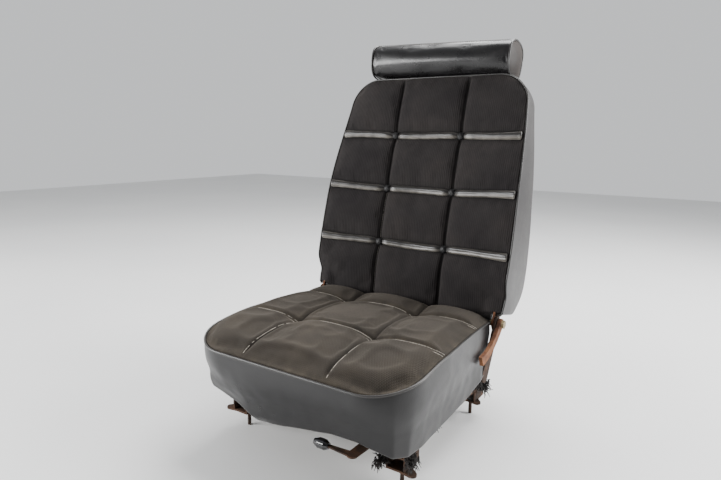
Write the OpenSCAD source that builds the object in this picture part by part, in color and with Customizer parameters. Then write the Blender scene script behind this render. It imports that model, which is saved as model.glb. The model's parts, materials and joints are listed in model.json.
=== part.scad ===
// Reclining bucket seat on slide rails, with a head restraint.
// Millimetres. +X is the sitter's left, the seat faces -Y, +Z is up.
// The origin is the centre of the four floor studs, on the underside of the rail feet.

/* [Cushion] */
// Width over the piping at the widest row
cushion_w = 500; // [440:1:560]
// Length from the front edge to the rear edge
cushion_l = 457; // [400:1:500]
// How much narrower the cushion is at its rear than at its widest row
cushion_taper = 37; // [20:1:60]
// Height of the crown of the piping line above the floor face of the feet
cushion_h = 204; // [195:1:230]
// How far the piping line falls to the front edge
front_drop = 27; // [10:1:40]
// How far the piping line falls to the rear edge
rear_drop = 14; // [8:1:30]
// Radius of the front corners in plan
front_corner_r = 90; // [50:1:120]
// Height of the skirt's hem at the front
hem_h = 60; // [55:1:70]

/* [Backrest] */
// Recline from the vertical, in degrees, as the seat stands
recline = 14.8; // [5:0.1:22]
// Width at the widest height
back_w = 520; // [490:1:580]
// Length of the backrest up its front face
back_l = 586; // [520:1:640]
// Depth at its thickest, low down
back_depth = 133; // [115:1:150]
// Depth at the top edge
back_depth_top = 50; // [46:1:70]
// Radius of the top corners
back_corner_r = 75; // [50:1:100]
// Thickness of the vinyl, with its scrim
cover_t = 3; // [2:0.5:4]
// How far the side bolsters stand in front of the buttons
bolster = 30; // [15:1:35]
// Spacing of the two rows of buttons
button_spacing = 181; // [150:1:220]

/* [Head restraint] */
// Width
head_w = 384; // [320:1:440]
// Height
head_h = 84; // [70:1:100]
// Depth, front to back
head_depth = 92; // [80:1:110]
// Spacing of the two posts
post_spacing = 150; // [110:1:200]
// Radius of a post
post_r = 5; // [4:0.5:5.5]
// Travel of the posts in their guides
head_travel = 60; // [30:1:70]

/* [Rails] */
// Spacing of the two rails, centre to centre
rail_spacing = 390; // [370:1:396]
// Length of the fixed rails
rail_l = 400; // [370:1:440]
// Spacing of the front and rear studs
stud_spacing = 330; // [300:1:345]
// Height of the feet that carry the rails
foot_h = 32; // [24:1:36]
// Length of a stud below its foot
stud_l = 40; // [20:1:50]
// Radius of a stud
stud_r = 4; // [3:0.5:5]
// Fore-and-aft travel each way from the middle
slide_travel = 80; // [40:1:90]
// Pitch of the latch notches
notch_pitch = 20; // [15:1:25]

/* [Hinge] */
// Radius of the hinge bolts' shank
bolt_r = 5; // [4:0.5:6]
// Thickness of the hinge arms and brackets
plate_t = 4; // [3:0.5:4.5]
// Length of the recline lever
lever_l = 122; // [90:1:140]
// Width of the recline lever
lever_w = 24; // [20:1:30]

/* [Hidden] */
$fn = 48;
gap = 0.3;                  // clearance between pieces on different bodies
fit = 0.05;                 // radial clearance of a running fit
steps = 24;                 // straight steps that draw one curved edge

// Colours
rust = "sienna";
vinyl = "#2b2b2d";
cloth = "#3a3735";
rubber = "#1f1f1f";
foam = "#c9b458";
nylon = "#d8d4c8";
zinc = "#c9a63c";
chrome = "silver";

// Rails, in cross section
rail_w = 44;
rail_wall = 2.5;
foot_t = 4;
rail_top = foot_h + 24;
rail_lip = 7;
brim_z = foot_h + 8;                        // underside of the upper rail's brim
crown_w = 24;
upper_top = foot_h + 40.5;                  // top of the upper rail
upper_l = rail_l - 40;
pan_bolt_y = upper_l / 2 - 60;

// Cushion
front_y = -283;
rear_y = front_y + cushion_l;
crown_y = -90;                              // where the piping line is highest
pan_z = upper_top + 30;                     // top of the pan sides' flanges
web_t = 3;                                  // thickness of the webbing straps
foam_z = pan_z + web_t + 0.5;
pan_x = rail_spacing / 2 + 30;              // outer face of the pan sides' webs
cloth_h = 14;                               // height of the padded cloth top over the piping line

// Backrest
hinge_y = rear_y + 1;
hinge_z = cushion_h - rear_drop - 3;
back_off = 7.4;                             // the hinge axis lies this far in front of the cloth
back_low = 8.5;                            // and this far above the backrest's lowest edge's zero line
back_bottom = -14;                          // lowest edge, measured up the face from the zero line
back_top = back_bottom + back_l;
hoop_r = 8.5;
hoop_d = 33;                                // depth of the hoop's centre line behind the cloth
arm_in = rear_half_w() + 4.6;               // inner faces of the hinge arms
bracket_in = arm_in + plate_t + 2;
lever_in = bracket_in + plate_t + 2;
lever_t = 8;
hoop_x = arm_in - hoop_r;
band_s = [141, 280, 420];
band_h = 18;
band_t = 5;
guide_r = post_r + 1.5;
guide_bottom = back_top - 152;
quadrant_r = 34;
pawl_y = hinge_y - 30;
pawl_z = hinge_z - 50;
pawl_tip_r = 3.5;
pawl_angle = -96;                           // where the pawl meets the teeth, midway between two of them

function rear_half_w() = cushion_w / 2 - cushion_taper / 2;
function half_w(y) = y < -95 ? cushion_w / 2
    : cushion_w / 2 - (cushion_taper / 2) * (y + 95) / (rear_y + 95);
function top_z(y) = y < crown_y
    ? cushion_h - front_drop * pow((y - crown_y) / (front_y - crown_y), 2)
    : cushion_h - rear_drop * pow((y - crown_y) / (rear_y - crown_y), 2);
function arc(cx, cy, r, a0, a1, n = 12) =
    [for (i = [0 : n]) [cx + r * cos(a0 + (a1 - a0) * i / n), cy + r * sin(a0 + (a1 - a0) * i / n)]];
function mirrored(points) = concat(points, [for (i = [len(points) - 1 : -1 : 0]) [-points[i][0], points[i][1]]]);

// Plan outline of the cushion, drawn in by inset, from the front middle round to the rear
rear_corner_r = 20;
function cushion_plan(inset) = mirrored(concat(
    arc(cushion_w / 2 - front_corner_r, front_y + front_corner_r, front_corner_r - inset, -90, 0),
    [[half_w(-95) - inset, -95]],
    arc(rear_half_w() - rear_corner_r, rear_y - rear_corner_r, rear_corner_r - min(inset, 15), 0, 90, 6)
        ));

// Side profile between two height offsets from the piping line, or down to a level
module cushion_slice(inset, low, high) {
    intersection() {
        linear_extrude(height = 400) polygon(cushion_plan(inset));
        rotate([90, 0, 90]) translate([0, 0, -cushion_w]) linear_extrude(height = 2 * cushion_w)
            polygon(concat(
                [for (i = [0 : steps]) let (y = slice_y(i)) [y, top_z(y) + high * swell(y)]],
                low));
    }
}

function slice_y(i) = let (t = (1 - cos(180 * i / steps)) / 2) front_y - 1 + (cushion_l + 2) * t;
// How full the padded top is, from 0.1 at its two ends to 1 in the middle
function swell(y) =
    let (d = max(front_y + 45 - y, y - rear_y + 60, 0) / (y < 0 ? 45 : 60))
    0.1 + 0.9 * sqrt(max(0, 1 - d * d));
function top_line(offset) = [for (i = [steps : -1 : 0]) let (y = slice_y(i)) [y, top_z(y) + offset]];
hem_line = [[rear_y + 5, hem_h + 115], [80, hem_h + 51], [-150, hem_h + 12], [front_y - 5, hem_h]];

module both_sides() {
    children();
    mirror([1, 0, 0]) children();
}

// A flat link between two eyes, with tangent edges
module link(p1, r1, p2, r2) {
    run = norm(p2 - p1);
    lean = acos((r1 - r2) / run);
    way = atan2(p2[1] - p1[1], p2[0] - p1[0]);
    e1 = r1 - 0.03;
    e2 = r2 - 0.03;
    union() {
        polygon([
            p1 + e1 * [cos(way + lean), sin(way + lean)], p2 + e2 * [cos(way + lean), sin(way + lean)],
            p2 + e2 * [cos(way - lean), sin(way - lean)], p1 + e1 * [cos(way - lean), sin(way - lean)]
        ]);
        translate(p1) circle(r1);
        translate(p2) circle(r2);
    }
}

// Draws a shape of the Y-Z plane as a plate from x to x + t
module plate(x, t) {
    translate([x, 0, 0]) rotate([90, 0, 90]) linear_extrude(height = t) children();
}

module hex_head(af, t) {
    cylinder(d = af / cos(30), h = t, $fn = 6);
}

// ---- Fixed rails ----

module lower_rail() {
    color(rust) difference() {
        translate([rail_spacing / 2, rail_l / 2, foot_h]) rotate([90, 0, 0]) linear_extrude(height = rail_l) difference() {
            translate([-rail_w / 2, 0]) square([rail_w, rail_top - foot_h]);
            translate([-rail_w / 2 + rail_wall, rail_wall]) square([rail_w - 2 * rail_wall, rail_top - foot_h - 2 * rail_wall]);
            translate([-rail_w / 2 + rail_lip, rail_wall]) square([rail_w - 2 * rail_lip, rail_top]);
        }
        for (i = [-4 : 4]) translate([rail_spacing / 2 - rail_w / 2 - 1, latch_y - 4.5 + i * notch_pitch, foot_h + 8])
            cube([rail_wall + 2, 9, 12]);
    }
}

module lower_rail_right() {
    lower_rail();
}

module lower_rail_left() {
    mirror([1, 0, 0]) lower_rail();
}

// A foot is a channel under the rail, with an ear that turns outwards from its base
foot_l = 56;
module foot(y, ear) {
    color(rust) translate([rail_spacing / 2, y, 0]) union() {
        linear_extrude(height = foot_t) union() {
            translate([-rail_w / 2 + 2, -foot_l / 2]) square([rail_w - 4, foot_l]);
            link([0, -foot_l / 2 + 19], 17, [ear, -foot_l / 2 + 5], 9);
        }
        for (x = [-rail_w / 2 + 2, rail_w / 2 - 5]) translate([x, -foot_l / 2, foot_t - 0.5]) cube([3, foot_l, foot_h - foot_t + 0.5]);
    }
}

module front_feet() {
    both_sides() foot(-stud_spacing / 2, 32);
}

module rear_feet() {
    both_sides() foot(stud_spacing / 2, 24);
}

module floor_studs() {
    color(rust) for (x = [-1, 1], y = [-1, 1]) translate([x * rail_spacing / 2, y * stud_spacing / 2, -stud_l]) union() {
        cylinder(r = stud_r, h = stud_l);
    }
}

// Rivets that close each end of a fixed rail
module rail_stops() {
    color(rust) both_sides() for (y = [-1, 1]) translate([rail_spacing / 2, y * (rail_l / 2 - 6), foot_h + rail_wall]) cylinder(r = 5, h = 5);
}

// ---- Sliding rails and pan ----

module upper_rail() {
    color(rust) difference() {
        translate([rail_spacing / 2, upper_l / 2, 0]) rotate([90, 0, 0]) linear_extrude(height = upper_l) union() {
            for (side = [-1, 1]) translate([side * (18 + crown_w / 2 - rail_wall) / 2 - (18 - crown_w / 2 + rail_wall) / 2, brim_z])
                square([18 - crown_w / 2 + rail_wall, rail_wall]);
            for (side = [-1, 1]) translate([side * (crown_w - rail_wall) / 2 - rail_wall / 2, brim_z])
                square([rail_wall, upper_top - brim_z]);
            translate([-crown_w / 2, upper_top - rail_wall]) square([crown_w, rail_wall]);
        }
        for (y = [-1, 1]) translate([rail_spacing / 2, y * pan_bolt_y, upper_top - rail_wall - 1]) cylinder(r = 4.3, h = 5);
    }
}

module upper_rail_right() {
    upper_rail();
}

module upper_rail_left() {
    mirror([1, 0, 0]) upper_rail();
}

module slide_shoes() {
    shoe_z = foot_h + rail_wall + 0.2;
    color(nylon) both_sides() for (y = [-1, 1])
        translate([rail_spacing / 2 - 16, y * (upper_l / 2 - slide_travel - 15) - 20, shoe_z]) cube([32, 40, brim_z - shoe_z]);
}

// Pressed Z section: a foot flange on the upper rail, a web, and a top flange for the webbing
module pan_side() {
    x0 = rail_spacing / 2 - crown_w / 2;
    color(rust) difference() {
        translate([0, 195, 0]) rotate([90, 0, 0]) linear_extrude(height = 430) union() {
            translate([x0, upper_top]) square([pan_x - x0, rail_wall]);
            translate([pan_x - rail_wall, upper_top]) square([rail_wall, pan_z - upper_top]);
            translate([pan_x - 22, pan_z - rail_wall]) square([22, rail_wall]);
        }
        for (y = [-1, 1]) translate([rail_spacing / 2, y * pan_bolt_y, upper_top - 1]) cylinder(r = 4.3, h = 5);
        translate([0, 174, upper_top + rail_wall]) cube([300, 30, 80]);
    }
}

module pan_side_right() {
    pan_side();
}

module pan_side_left() {
    mirror([1, 0, 0]) pan_side();
}

tube_r = 12;
module cross_tube(y) {
    length = 2 * (pan_x - rail_wall);
    color(rust) translate([-length / 2, y, (upper_top + pan_z) / 2]) rotate([0, 90, 0]) difference() {
        cylinder(r = tube_r, h = length);
        translate([0, 0, -1]) cylinder(r = tube_r - 2, h = length + 2);
    }
}

module front_cross_tube() {
    cross_tube(-215);
}

module rear_cross_tube() {
    cross_tube(150);
}

module frame_bolts() {
    color(rust) both_sides() for (y = [-1, 1]) translate([rail_spacing / 2, y * pan_bolt_y, 0]) union() {
        translate([0, 0, upper_top + rail_wall]) hex_head(13, 5);
        translate([0, 0, upper_top - 12]) cylinder(r = 4, h = 12 + rail_wall);
    }
}

module frame_nuts() {
    color(rust) both_sides() for (y = [-1, 1]) translate([rail_spacing / 2, y * pan_bolt_y, upper_top - rail_wall - 6.5]) difference() {
        hex_head(13, 6.5);
        translate([0, 0, -1]) cylinder(r = 4 + fit, h = 9);
    }
}

strap_y = [-185, -115, -45, 25, 95];
strap_half = pan_x - 3;
module seat_webbing() {
    color(rubber) for (y = strap_y) translate([-strap_half, y - 25, pan_z]) cube([2 * strap_half, 50, web_t]);
}

// Pressed clips that hook the straps over the pan's flanges
module webbing_clips() {
    color(rust) both_sides() for (y = strap_y) translate([strap_half, y - 25, pan_z]) cube([3, 50, web_t]);
}

// ---- Cushion ----

module seat_foam() {
    color(foam) cushion_slice(cover_t + 0.5, [[rear_y + 5, hem_h + 115], [125, foam_z], [front_y - 5, foam_z]], 0);
}

module seat_cloth() {
    color(cloth) cushion_slice(2, top_line(0), cloth_h);
}

module seat_boxing() {
    color(vinyl) difference() {
        cushion_slice(0, hem_line, 0);
        translate([0, 0, -1]) linear_extrude(height = 402) polygon(cushion_plan(cover_t));
    }
}

// ---- Hinges ----

module hinge_bracket() {
    foot_y = hinge_y - 62;
    foot_pz = (upper_top + pan_z) / 2;
    color(rust) difference() {
        union() {
            plate(bracket_in, plate_t) link([hinge_y, hinge_z], 16, [foot_y, foot_pz], 18);
            plate(pan_x, bracket_in - pan_x) translate([foot_y - 16, foot_pz - 12]) square([32, 24]);
        }
        plate(bracket_in - 1, plate_t + 2) {
            translate([hinge_y, hinge_z]) circle(bolt_r + fit);
            translate([pawl_y, pawl_z]) circle(4 + fit);
        }
    }
}

module hinge_bracket_right() {
    hinge_bracket();
}

module hinge_bracket_left() {
    mirror([1, 0, 0]) hinge_bracket();
}

// The right-hand bolt also carries the recline lever, so it is longer
module hinge_bolt(reach) {
    color(zinc) translate([arm_in - 8, hinge_y, hinge_z]) rotate([0, 90, 0]) union() {
        cylinder(r = bolt_r, h = reach - arm_in + 8);
        translate([0, 0, reach - arm_in + 8]) hex_head(17, 6);
    }
}

module hinge_bolts() {
    hinge_bolt(lever_in + lever_t + gap);
    mirror([1, 0, 0]) hinge_bolt(bracket_in + plate_t);
}

module hinge_nuts() {
    color(zinc) both_sides() translate([arm_in - 7, hinge_y, hinge_z]) rotate([0, 90, 0]) difference() {
        hex_head(14, 6.7);
        translate([0, 0, -1]) cylinder(r = bolt_r + fit, h = 9);
    }
}

bush_r = bolt_r + 2;
module hinge_bushes() {
    color(nylon) both_sides() translate([arm_in, hinge_y, hinge_z]) rotate([0, 90, 0]) difference() {
        cylinder(r = bush_r, h = plate_t);
        translate([0, 0, -1]) cylinder(r = bolt_r + fit, h = plate_t + 2);
    }
}

module hinge_washers() {
    color(zinc) both_sides() translate([arm_in + plate_t + 0.3, hinge_y, hinge_z]) rotate([0, 90, 0]) difference() {
        cylinder(r = 11, h = 1.7);
        translate([0, 0, -1]) cylinder(r = bolt_r + fit, h = 4);
    }
}

module pawl_pin() {
    color(zinc) translate([arm_in - 0.5, pawl_y, pawl_z]) rotate([0, 90, 0]) cylinder(r = 4, h = bracket_in + plate_t - arm_in + 0.5);
}

// ---- Slide latch ----

latch_x = rail_spacing / 2 - 45;
latch_y = -70;
latch_pivot_y = latch_y - 40;
lever_z = foot_h + 12.5;
module latch_bracket() {
    color(rust) difference() {
        translate([latch_x - 14, latch_pivot_y - 15, upper_top - rail_wall]) cube([rail_spacing / 2 - crown_w / 2 - latch_x + 14, 30, rail_wall]);
        translate([latch_x, latch_pivot_y, upper_top - 5]) cylinder(r = 4, h = 10);
    }
}

module latch_pin() {
    color(zinc) translate([latch_x, latch_pivot_y, 0]) union() {
        translate([0, 0, lever_z - 9]) cylinder(r = 4, h = upper_top - lever_z + 9);
        translate([0, 0, lever_z - 11]) cylinder(r = 9, h = 2);
        translate([0, 0, upper_top]) cylinder(r = 6.5, h = 2);
    }
}

// Torsion spring wound round the pin, under the lever
coil_r = 6.5;
wire_r = 0.8;
coil_turns = 3;
coil_sides = 6;
coil_steps = 14;
module latch_spring() {
    rise = 2.2;
    rings = coil_turns * coil_steps;
    points = [for (i = [0 : rings], k = [0 : coil_sides - 1])
        let (a = 360 * i / coil_steps, b = 360 * k / coil_sides, r = coil_r + wire_r * cos(b))
        [r * cos(a), r * sin(a), rise * i / coil_steps + wire_r * sin(b)]];
    faces = concat(
        [[for (k = [0 : coil_sides - 1]) k]],
        [for (i = [0 : rings - 1], k = [0 : coil_sides - 1])
            let (n = (k + 1) % coil_sides)
            [i * coil_sides + k, (i + 1) * coil_sides + k, (i + 1) * coil_sides + n, i * coil_sides + n]],
        [[for (k = [coil_sides - 1 : -1 : 0]) rings * coil_sides + k]]);
    color("dimgray") translate([latch_x, latch_pivot_y, lever_z - 8]) polyhedron(points, faces, convexity = 4);
}

knob_x = 78;
knob_y = front_y + 28;
bend_x = 143;
module slide_lever() {
    color(rust) difference() {
        union() {
            translate([0, 0, lever_z]) linear_extrude(height = 3) union() {
                link([latch_x, latch_pivot_y], 13, [bend_x, knob_y], 10.5);
                link([bend_x, knob_y], 8, [knob_x + 16, knob_y], 4);
                link([latch_x, latch_pivot_y], 13, [latch_x + 12, latch_y], 8);
            }
            translate([latch_x + 8, latch_y - 4, lever_z]) cube([rail_spacing / 2 - rail_w / 2 - gap - latch_x - 8, 8, 3]);
        }
        translate([latch_x, latch_pivot_y, lever_z - 1]) cylinder(r = 4 + fit, h = 5);
    }
}

module slide_lever_knob() {
    color("#17171a") translate([knob_x, knob_y, lever_z + 1.5]) rotate([0, 90, 0]) difference() {
        translate([0, 0, -18]) union() {
            cylinder(r1 = 6, r2 = 10, h = 10, $fn = 40);
            translate([0, 0, 10]) cylinder(r = 10, h = 14, $fn = 40);
            translate([0, 0, 24]) cylinder(r1 = 10, r2 = 6, h = 8, $fn = 40);
        }
        translate([-1.5, -4.2, 12]) cube([3, 8.4, 20]);
    }
}

// ---- Recliner ----

// The lever's outline follows an arc, full at the hub and at the grip, drawn in by inset
lever_slope = 205;                          // direction from the hinge to the grip
lever_sag = 12;                             // how far the arc bellies out below its chord
function lever_point(t, side, inset) =
    let (
        bow = 4 * lever_sag * t * (1 - t),
        width = lever_w / 2 * (1 - 0.22 * sin(180 * t)) - inset,
        along = lever_l * t,
        across = bow + side * width
    )
    [hinge_y + along * cos(lever_slope) - across * sin(lever_slope),
     hinge_z + along * sin(lever_slope) + across * cos(lever_slope)];
function lever_outline(inset) = concat(
    [for (i = [0 : 12]) lever_point(inset / lever_l + i / 12 * (1 - 2 * inset / lever_l), 1, inset)],
    [for (i = [12 : -1 : 0]) lever_point(inset / lever_l + i / 12 * (1 - 2 * inset / lever_l), -1, inset)]);
module recline_lever() {
    color(rust) difference() {
        union() {
            plate(lever_in, lever_t) polygon(lever_outline(0));
            plate(lever_in, lever_t) translate([hinge_y, hinge_z]) circle(lever_w / 2);
        }
        plate(lever_in - 1, lever_t - 1.5) difference() {
            polygon(lever_outline(2.5));
            translate([hinge_y, hinge_z]) circle(bolt_r + 3);
        }
        plate(lever_in - 1, lever_t + 2) translate([hinge_y, hinge_z]) circle(bolt_r + fit);
    }
}

module recline_pawl() {
    reach = quadrant_r + gap + pawl_tip_r;
    color(rust) difference() {
        union() {
            plate(arm_in, plate_t) link([pawl_y, pawl_z], 9, [hinge_y + reach * cos(pawl_angle), hinge_z + reach * sin(pawl_angle)], pawl_tip_r);
            plate(arm_in, plate_t) translate([pawl_y, pawl_z]) circle(9);
        }
        plate(arm_in - 1, plate_t + 2) translate([pawl_y, pawl_z]) circle(4 + fit);
    }
}

// ---- Backrest, drawn upright with its cloth on the plane y = 0 and leaned back to the recline angle ----

module leaned() {
    translate([0, hinge_y, hinge_z]) rotate([-recline, 0, 0]) translate([0, back_off, back_low]) children();
}

wide_s = 150;                               // height of the widest point
back_w_fall = 28;                           // fall in half width from there to the top edge
function back_half(s) = back_w / 2 - (s > wide_s ? back_w_fall : 9) * pow((s - wide_s) / (s > wide_s ? back_top - wide_s : wide_s - back_bottom), 2);
corner_s = back_top - back_corner_r;
function back_outline(inset) = mirrored(concat(
    [for (i = [0 : steps]) let (s = back_bottom + inset + (corner_s - back_bottom - inset) * i / steps) [back_half(s) - inset, s]],
    arc(back_half(corner_s) - back_corner_r, corner_s, back_corner_r - inset, 7.5, 90, 11)));
thick_s = 80;                               // height of the thickest point
function back_rear(s) = s > thick_s
    ? back_depth - (back_depth - back_depth_top) * pow((s - thick_s) / (back_top - thick_s), 1.3)
    : back_depth - (back_depth - 75) * (1 - sqrt(1 - pow(min(1, (thick_s - s) / (thick_s - back_bottom + 6)), 2)));
// The side bolsters stand this far in front of the button plane
function back_front(s) = -bolster * (s < 25 ? 0 : s < 95 ? (1 - cos(180 * (s - 25) / 70)) / 2
    : s < 230 ? 1 : (1 + cos(180 * min(1, (s - 230) / (back_top - 230)))) / 2);
function back_profile(inset, front) = concat(
    [[front, back_top + 5]],
    [for (i = [2 * steps : -1 : 0]) let (s = back_bottom - 1 + (back_top - back_bottom + 2) * i / (2 * steps)) [back_front(s) + front, s]],
    [[front, back_bottom - 5]],
    [for (i = [0 : steps]) let (s = back_bottom + (back_top - back_bottom) * i / steps) [back_rear(s) - inset, s]],
    [[back_depth_top - inset, back_top + 5]]);

module back_solid(inset, rear_inset, front) {
    intersection() {
        rotate([90, 0, 0]) translate([0, 0, -200]) linear_extrude(height = 300) polygon(back_outline(inset));
        translate([-back_w, 0, 0]) rotate([90, 0, 90]) linear_extrude(height = 2 * back_w) polygon(back_profile(rear_inset, front));
    }
}

// The lower corners are cut back for the hinge arms
module corner_notches() {
    both_sides() translate([arm_in - 10, -60, back_bottom - 20]) cube([80, 110, 18.5 + 20 - back_low - back_bottom]);
}

shoulder_s = 165;
module arm_blank(grow) {
    plate(arm_in - grow, plate_t + 2 * grow) link([-back_off, -back_low], 15 + grow, [hoop_d, shoulder_s], 10 + grow);
    plate(arm_in - grow, plate_t + 2 * grow) translate([-back_off, -back_low]) circle(15 + grow);
}

module backrest_arm() {
    color(rust) difference() {
        leaned() union() arm_blank(0);
        plate(arm_in - 1, plate_t + 2) translate([hinge_y, hinge_z]) circle(bush_r + fit);
    }
}

// Ratchet sector of the right-hand arm
tooth_step = 6;
module quadrant() {
    color(rust) difference() {
        plate(arm_in, plate_t) union() {
            for (i = [0 : 12]) translate([hinge_y, hinge_z]) rotate(-117 + i * tooth_step)
                polygon([[0, 0], [quadrant_r - 2.5, -1.75], [quadrant_r, -0.6], [quadrant_r, 0.6], [quadrant_r - 2.5, 1.75]]);
            translate([hinge_y, hinge_z]) polygon(concat([[0, 0]], arc(0, 0, quadrant_r - 2.5, -119, -43, 16)));
        }
        plate(arm_in - 1, plate_t + 2) translate([hinge_y, hinge_z]) circle(bush_r + fit);
    }
}

module backrest_arm_right() {
    union() {
        backrest_arm();
        quadrant();
    }
}

module backrest_arm_left() {
    mirror([1, 0, 0]) backrest_arm();
}

hoop_bend = 60;
hoop_top = back_top - 42;
module backrest_hoop() {
    color(rust) leaned() difference() {
        translate([0, hoop_d, 0]) union() {
            both_sides() translate([hoop_x, 0, 10]) cylinder(r = hoop_r, h = hoop_top - hoop_bend - 10);
            both_sides() translate([hoop_x - hoop_bend, 0, hoop_top - hoop_bend]) rotate([90, 0, 0])
                rotate_extrude(angle = 90) translate([hoop_bend, 0]) circle(hoop_r);
            translate([-hoop_x + hoop_bend, 0, hoop_top]) rotate([0, 90, 0]) cylinder(r = hoop_r, h = 2 * (hoop_x - hoop_bend));
        }
        both_sides() translate([post_spacing / 2, hoop_d, hoop_top - 20]) cylinder(r = guide_r + fit, h = 40);
    }
}

back_straps = [70, 160, 250, 340];
module back_webbing() {
    half = hoop_x - hoop_r;
    color(rubber) leaned() for (s = back_straps) translate([-half, hoop_d - 1.5, s - 25]) cube([2 * half, web_t, 50]);
}

module backrest_foam() {
    color(foam) leaned() difference() {
        back_solid(back_w / 2 - arm_in + 1, 5, 4);
        translate([-back_w, -60, -50]) cube([2 * back_w, 64, back_top + 100]);
        translate([-back_w, hoop_d - hoop_r - gap, -50]) cube([2 * back_w, 200, back_top + 100]);
        translate([0, -1, 0]) corner_notches();
    }
}

module backrest_cloth() {
    color(cloth) leaned() difference() {
        intersection() {
            back_solid(cover_t, 5, 0);
            translate([-back_w, -60, -50]) cube([2 * back_w, 63.5, back_top + 100]);
        }
        for (s = band_s) translate([-back_w, -60, s - band_h / 2 - gap]) cube([2 * back_w, 60, band_h + 2 * gap]);
        corner_notches();
        both_sides() arm_blank(gap);
    }
}

module backrest_boxing() {
    color(vinyl) leaned() difference() {
        back_solid(0, cover_t, 0);
        rotate([90, 0, 0]) translate([0, 0, -210]) linear_extrude(height = 320) polygon(back_outline(cover_t));
        corner_notches();
        both_sides() translate([post_spacing / 2, hoop_d, back_top - 20]) cylinder(r = guide_r + fit, h = 40);
    }
}

module backrest_back() {
    color(vinyl) leaned() difference() {
        back_solid(0.1, 0, 3.6);
        back_solid(-2, cover_t, -5);
        corner_notches();
    }
}

// Padded vinyl bands, pulled in by two buttons each
module tuft_bands() {
    color(vinyl) leaned() for (s = band_s) translate([-back_half(s) + 6, -band_t, s - band_h / 2]) cube([2 * back_half(s) - 12, band_t, band_h]);
}

module tuft_buttons() {
    color(vinyl) leaned() for (s = band_s, side = [-1, 1]) translate([side * button_spacing / 2, -band_t, s]) rotate([90, 0, 0]) union() {
        cylinder(r = 9, h = 2);
        translate([0, 0, 2]) cylinder(r1 = 9, r2 = 5, h = 3);
    }
}

// ---- Head restraint ----

module post_guides() {
    color(rust) leaned() both_sides() translate([post_spacing / 2, hoop_d, guide_bottom]) difference() {
        cylinder(r = guide_r, h = back_top - guide_bottom);
        translate([0, 0, -1]) cylinder(r = post_r + fit, h = back_top - guide_bottom + 2);
    }
}

module post_collars() {
    color("#17171a") leaned() both_sides() translate([post_spacing / 2, hoop_d, back_top]) difference() {
        cylinder(r1 = 13, r2 = 10, h = 4);
        translate([0, 0, -1]) cylinder(r = post_r + fit, h = 6);
    }
}

head_s = back_top + 6;                      // underside of the head restraint
head_front = hoop_d - head_depth / 2 - 8;
module headrest_posts() {
    color(chrome) leaned() both_sides() translate([post_spacing / 2, hoop_d, guide_bottom - 28]) cylinder(r = post_r, h = head_s + 34 - guide_bottom + 28);
}

plate_half = post_spacing / 2 + 60;
module headrest_plate() {
    color(rust) leaned() difference() {
        translate([-plate_half, hoop_d - 12, head_s + 20]) cube([2 * plate_half, 24, 14]);
        both_sides() translate([post_spacing / 2, hoop_d, head_s]) cylinder(r = post_r + fit, h = 60);
    }
}

// Section of the head restraint: a rounded wedge, drawn in by inset
function head_section(inset) = let (r = 24, d0 = head_front, d1 = head_front + head_depth, s0 = head_s, s1 = head_s + head_h) concat(
    arc(d1 - r, s0 + r, r - inset, -90, 0, 6), arc(d1 - r - 4, s1 - r, r - inset, 0, 90, 6),
    arc(d0 + r + 10, s1 - r, r - inset, 90, 180, 6), arc(d0 + r, s0 + r, r - inset, 180, 270, 6));
module head_solid(inset) {
    translate([-head_w / 2 + inset, 0, 0]) rotate([90, 0, 90]) linear_extrude(height = head_w - 2 * inset) polygon(head_section(inset));
}

module headrest_foam() {
    color(foam) leaned() difference() {
        head_solid(cover_t + 0.5);
        translate([-plate_half - 0.5, hoop_d - 12.5, head_s - 5]) cube([2 * plate_half + 1, 25, 40]);
    }
}

module headrest_cover() {
    color(vinyl) leaned() difference() {
        head_solid(0);
        head_solid(cover_t);
        both_sides() translate([post_spacing / 2, hoop_d, head_s - 20]) cylinder(r = post_r + 1, h = 40);
    }
}

lower_rail_left();
lower_rail_right();
front_feet();
rear_feet();
floor_studs();
rail_stops();
upper_rail_left();
upper_rail_right();
slide_shoes();
pan_side_left();
pan_side_right();
front_cross_tube();
rear_cross_tube();
frame_bolts();
frame_nuts();
seat_webbing();
webbing_clips();
seat_foam();
seat_cloth();
seat_boxing();
hinge_bracket_left();
hinge_bracket_right();
hinge_bolts();
hinge_nuts();
hinge_bushes();
hinge_washers();
pawl_pin();
latch_bracket();
latch_pin();
latch_spring();
slide_lever();
slide_lever_knob();
recline_lever();
recline_pawl();
backrest_arm_left();
backrest_arm_right();
backrest_hoop();
back_webbing();
backrest_foam();
backrest_cloth();
backrest_boxing();
backrest_back();
tuft_bands();
tuft_buttons();
post_guides();
post_collars();
headrest_posts();
headrest_plate();
headrest_foam();
headrest_cover();
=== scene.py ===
import json
import math
import random
import bmesh
import bpy
from mathutils import Matrix, Vector, noise
from mathutils.bvhtree import BVHTree


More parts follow.
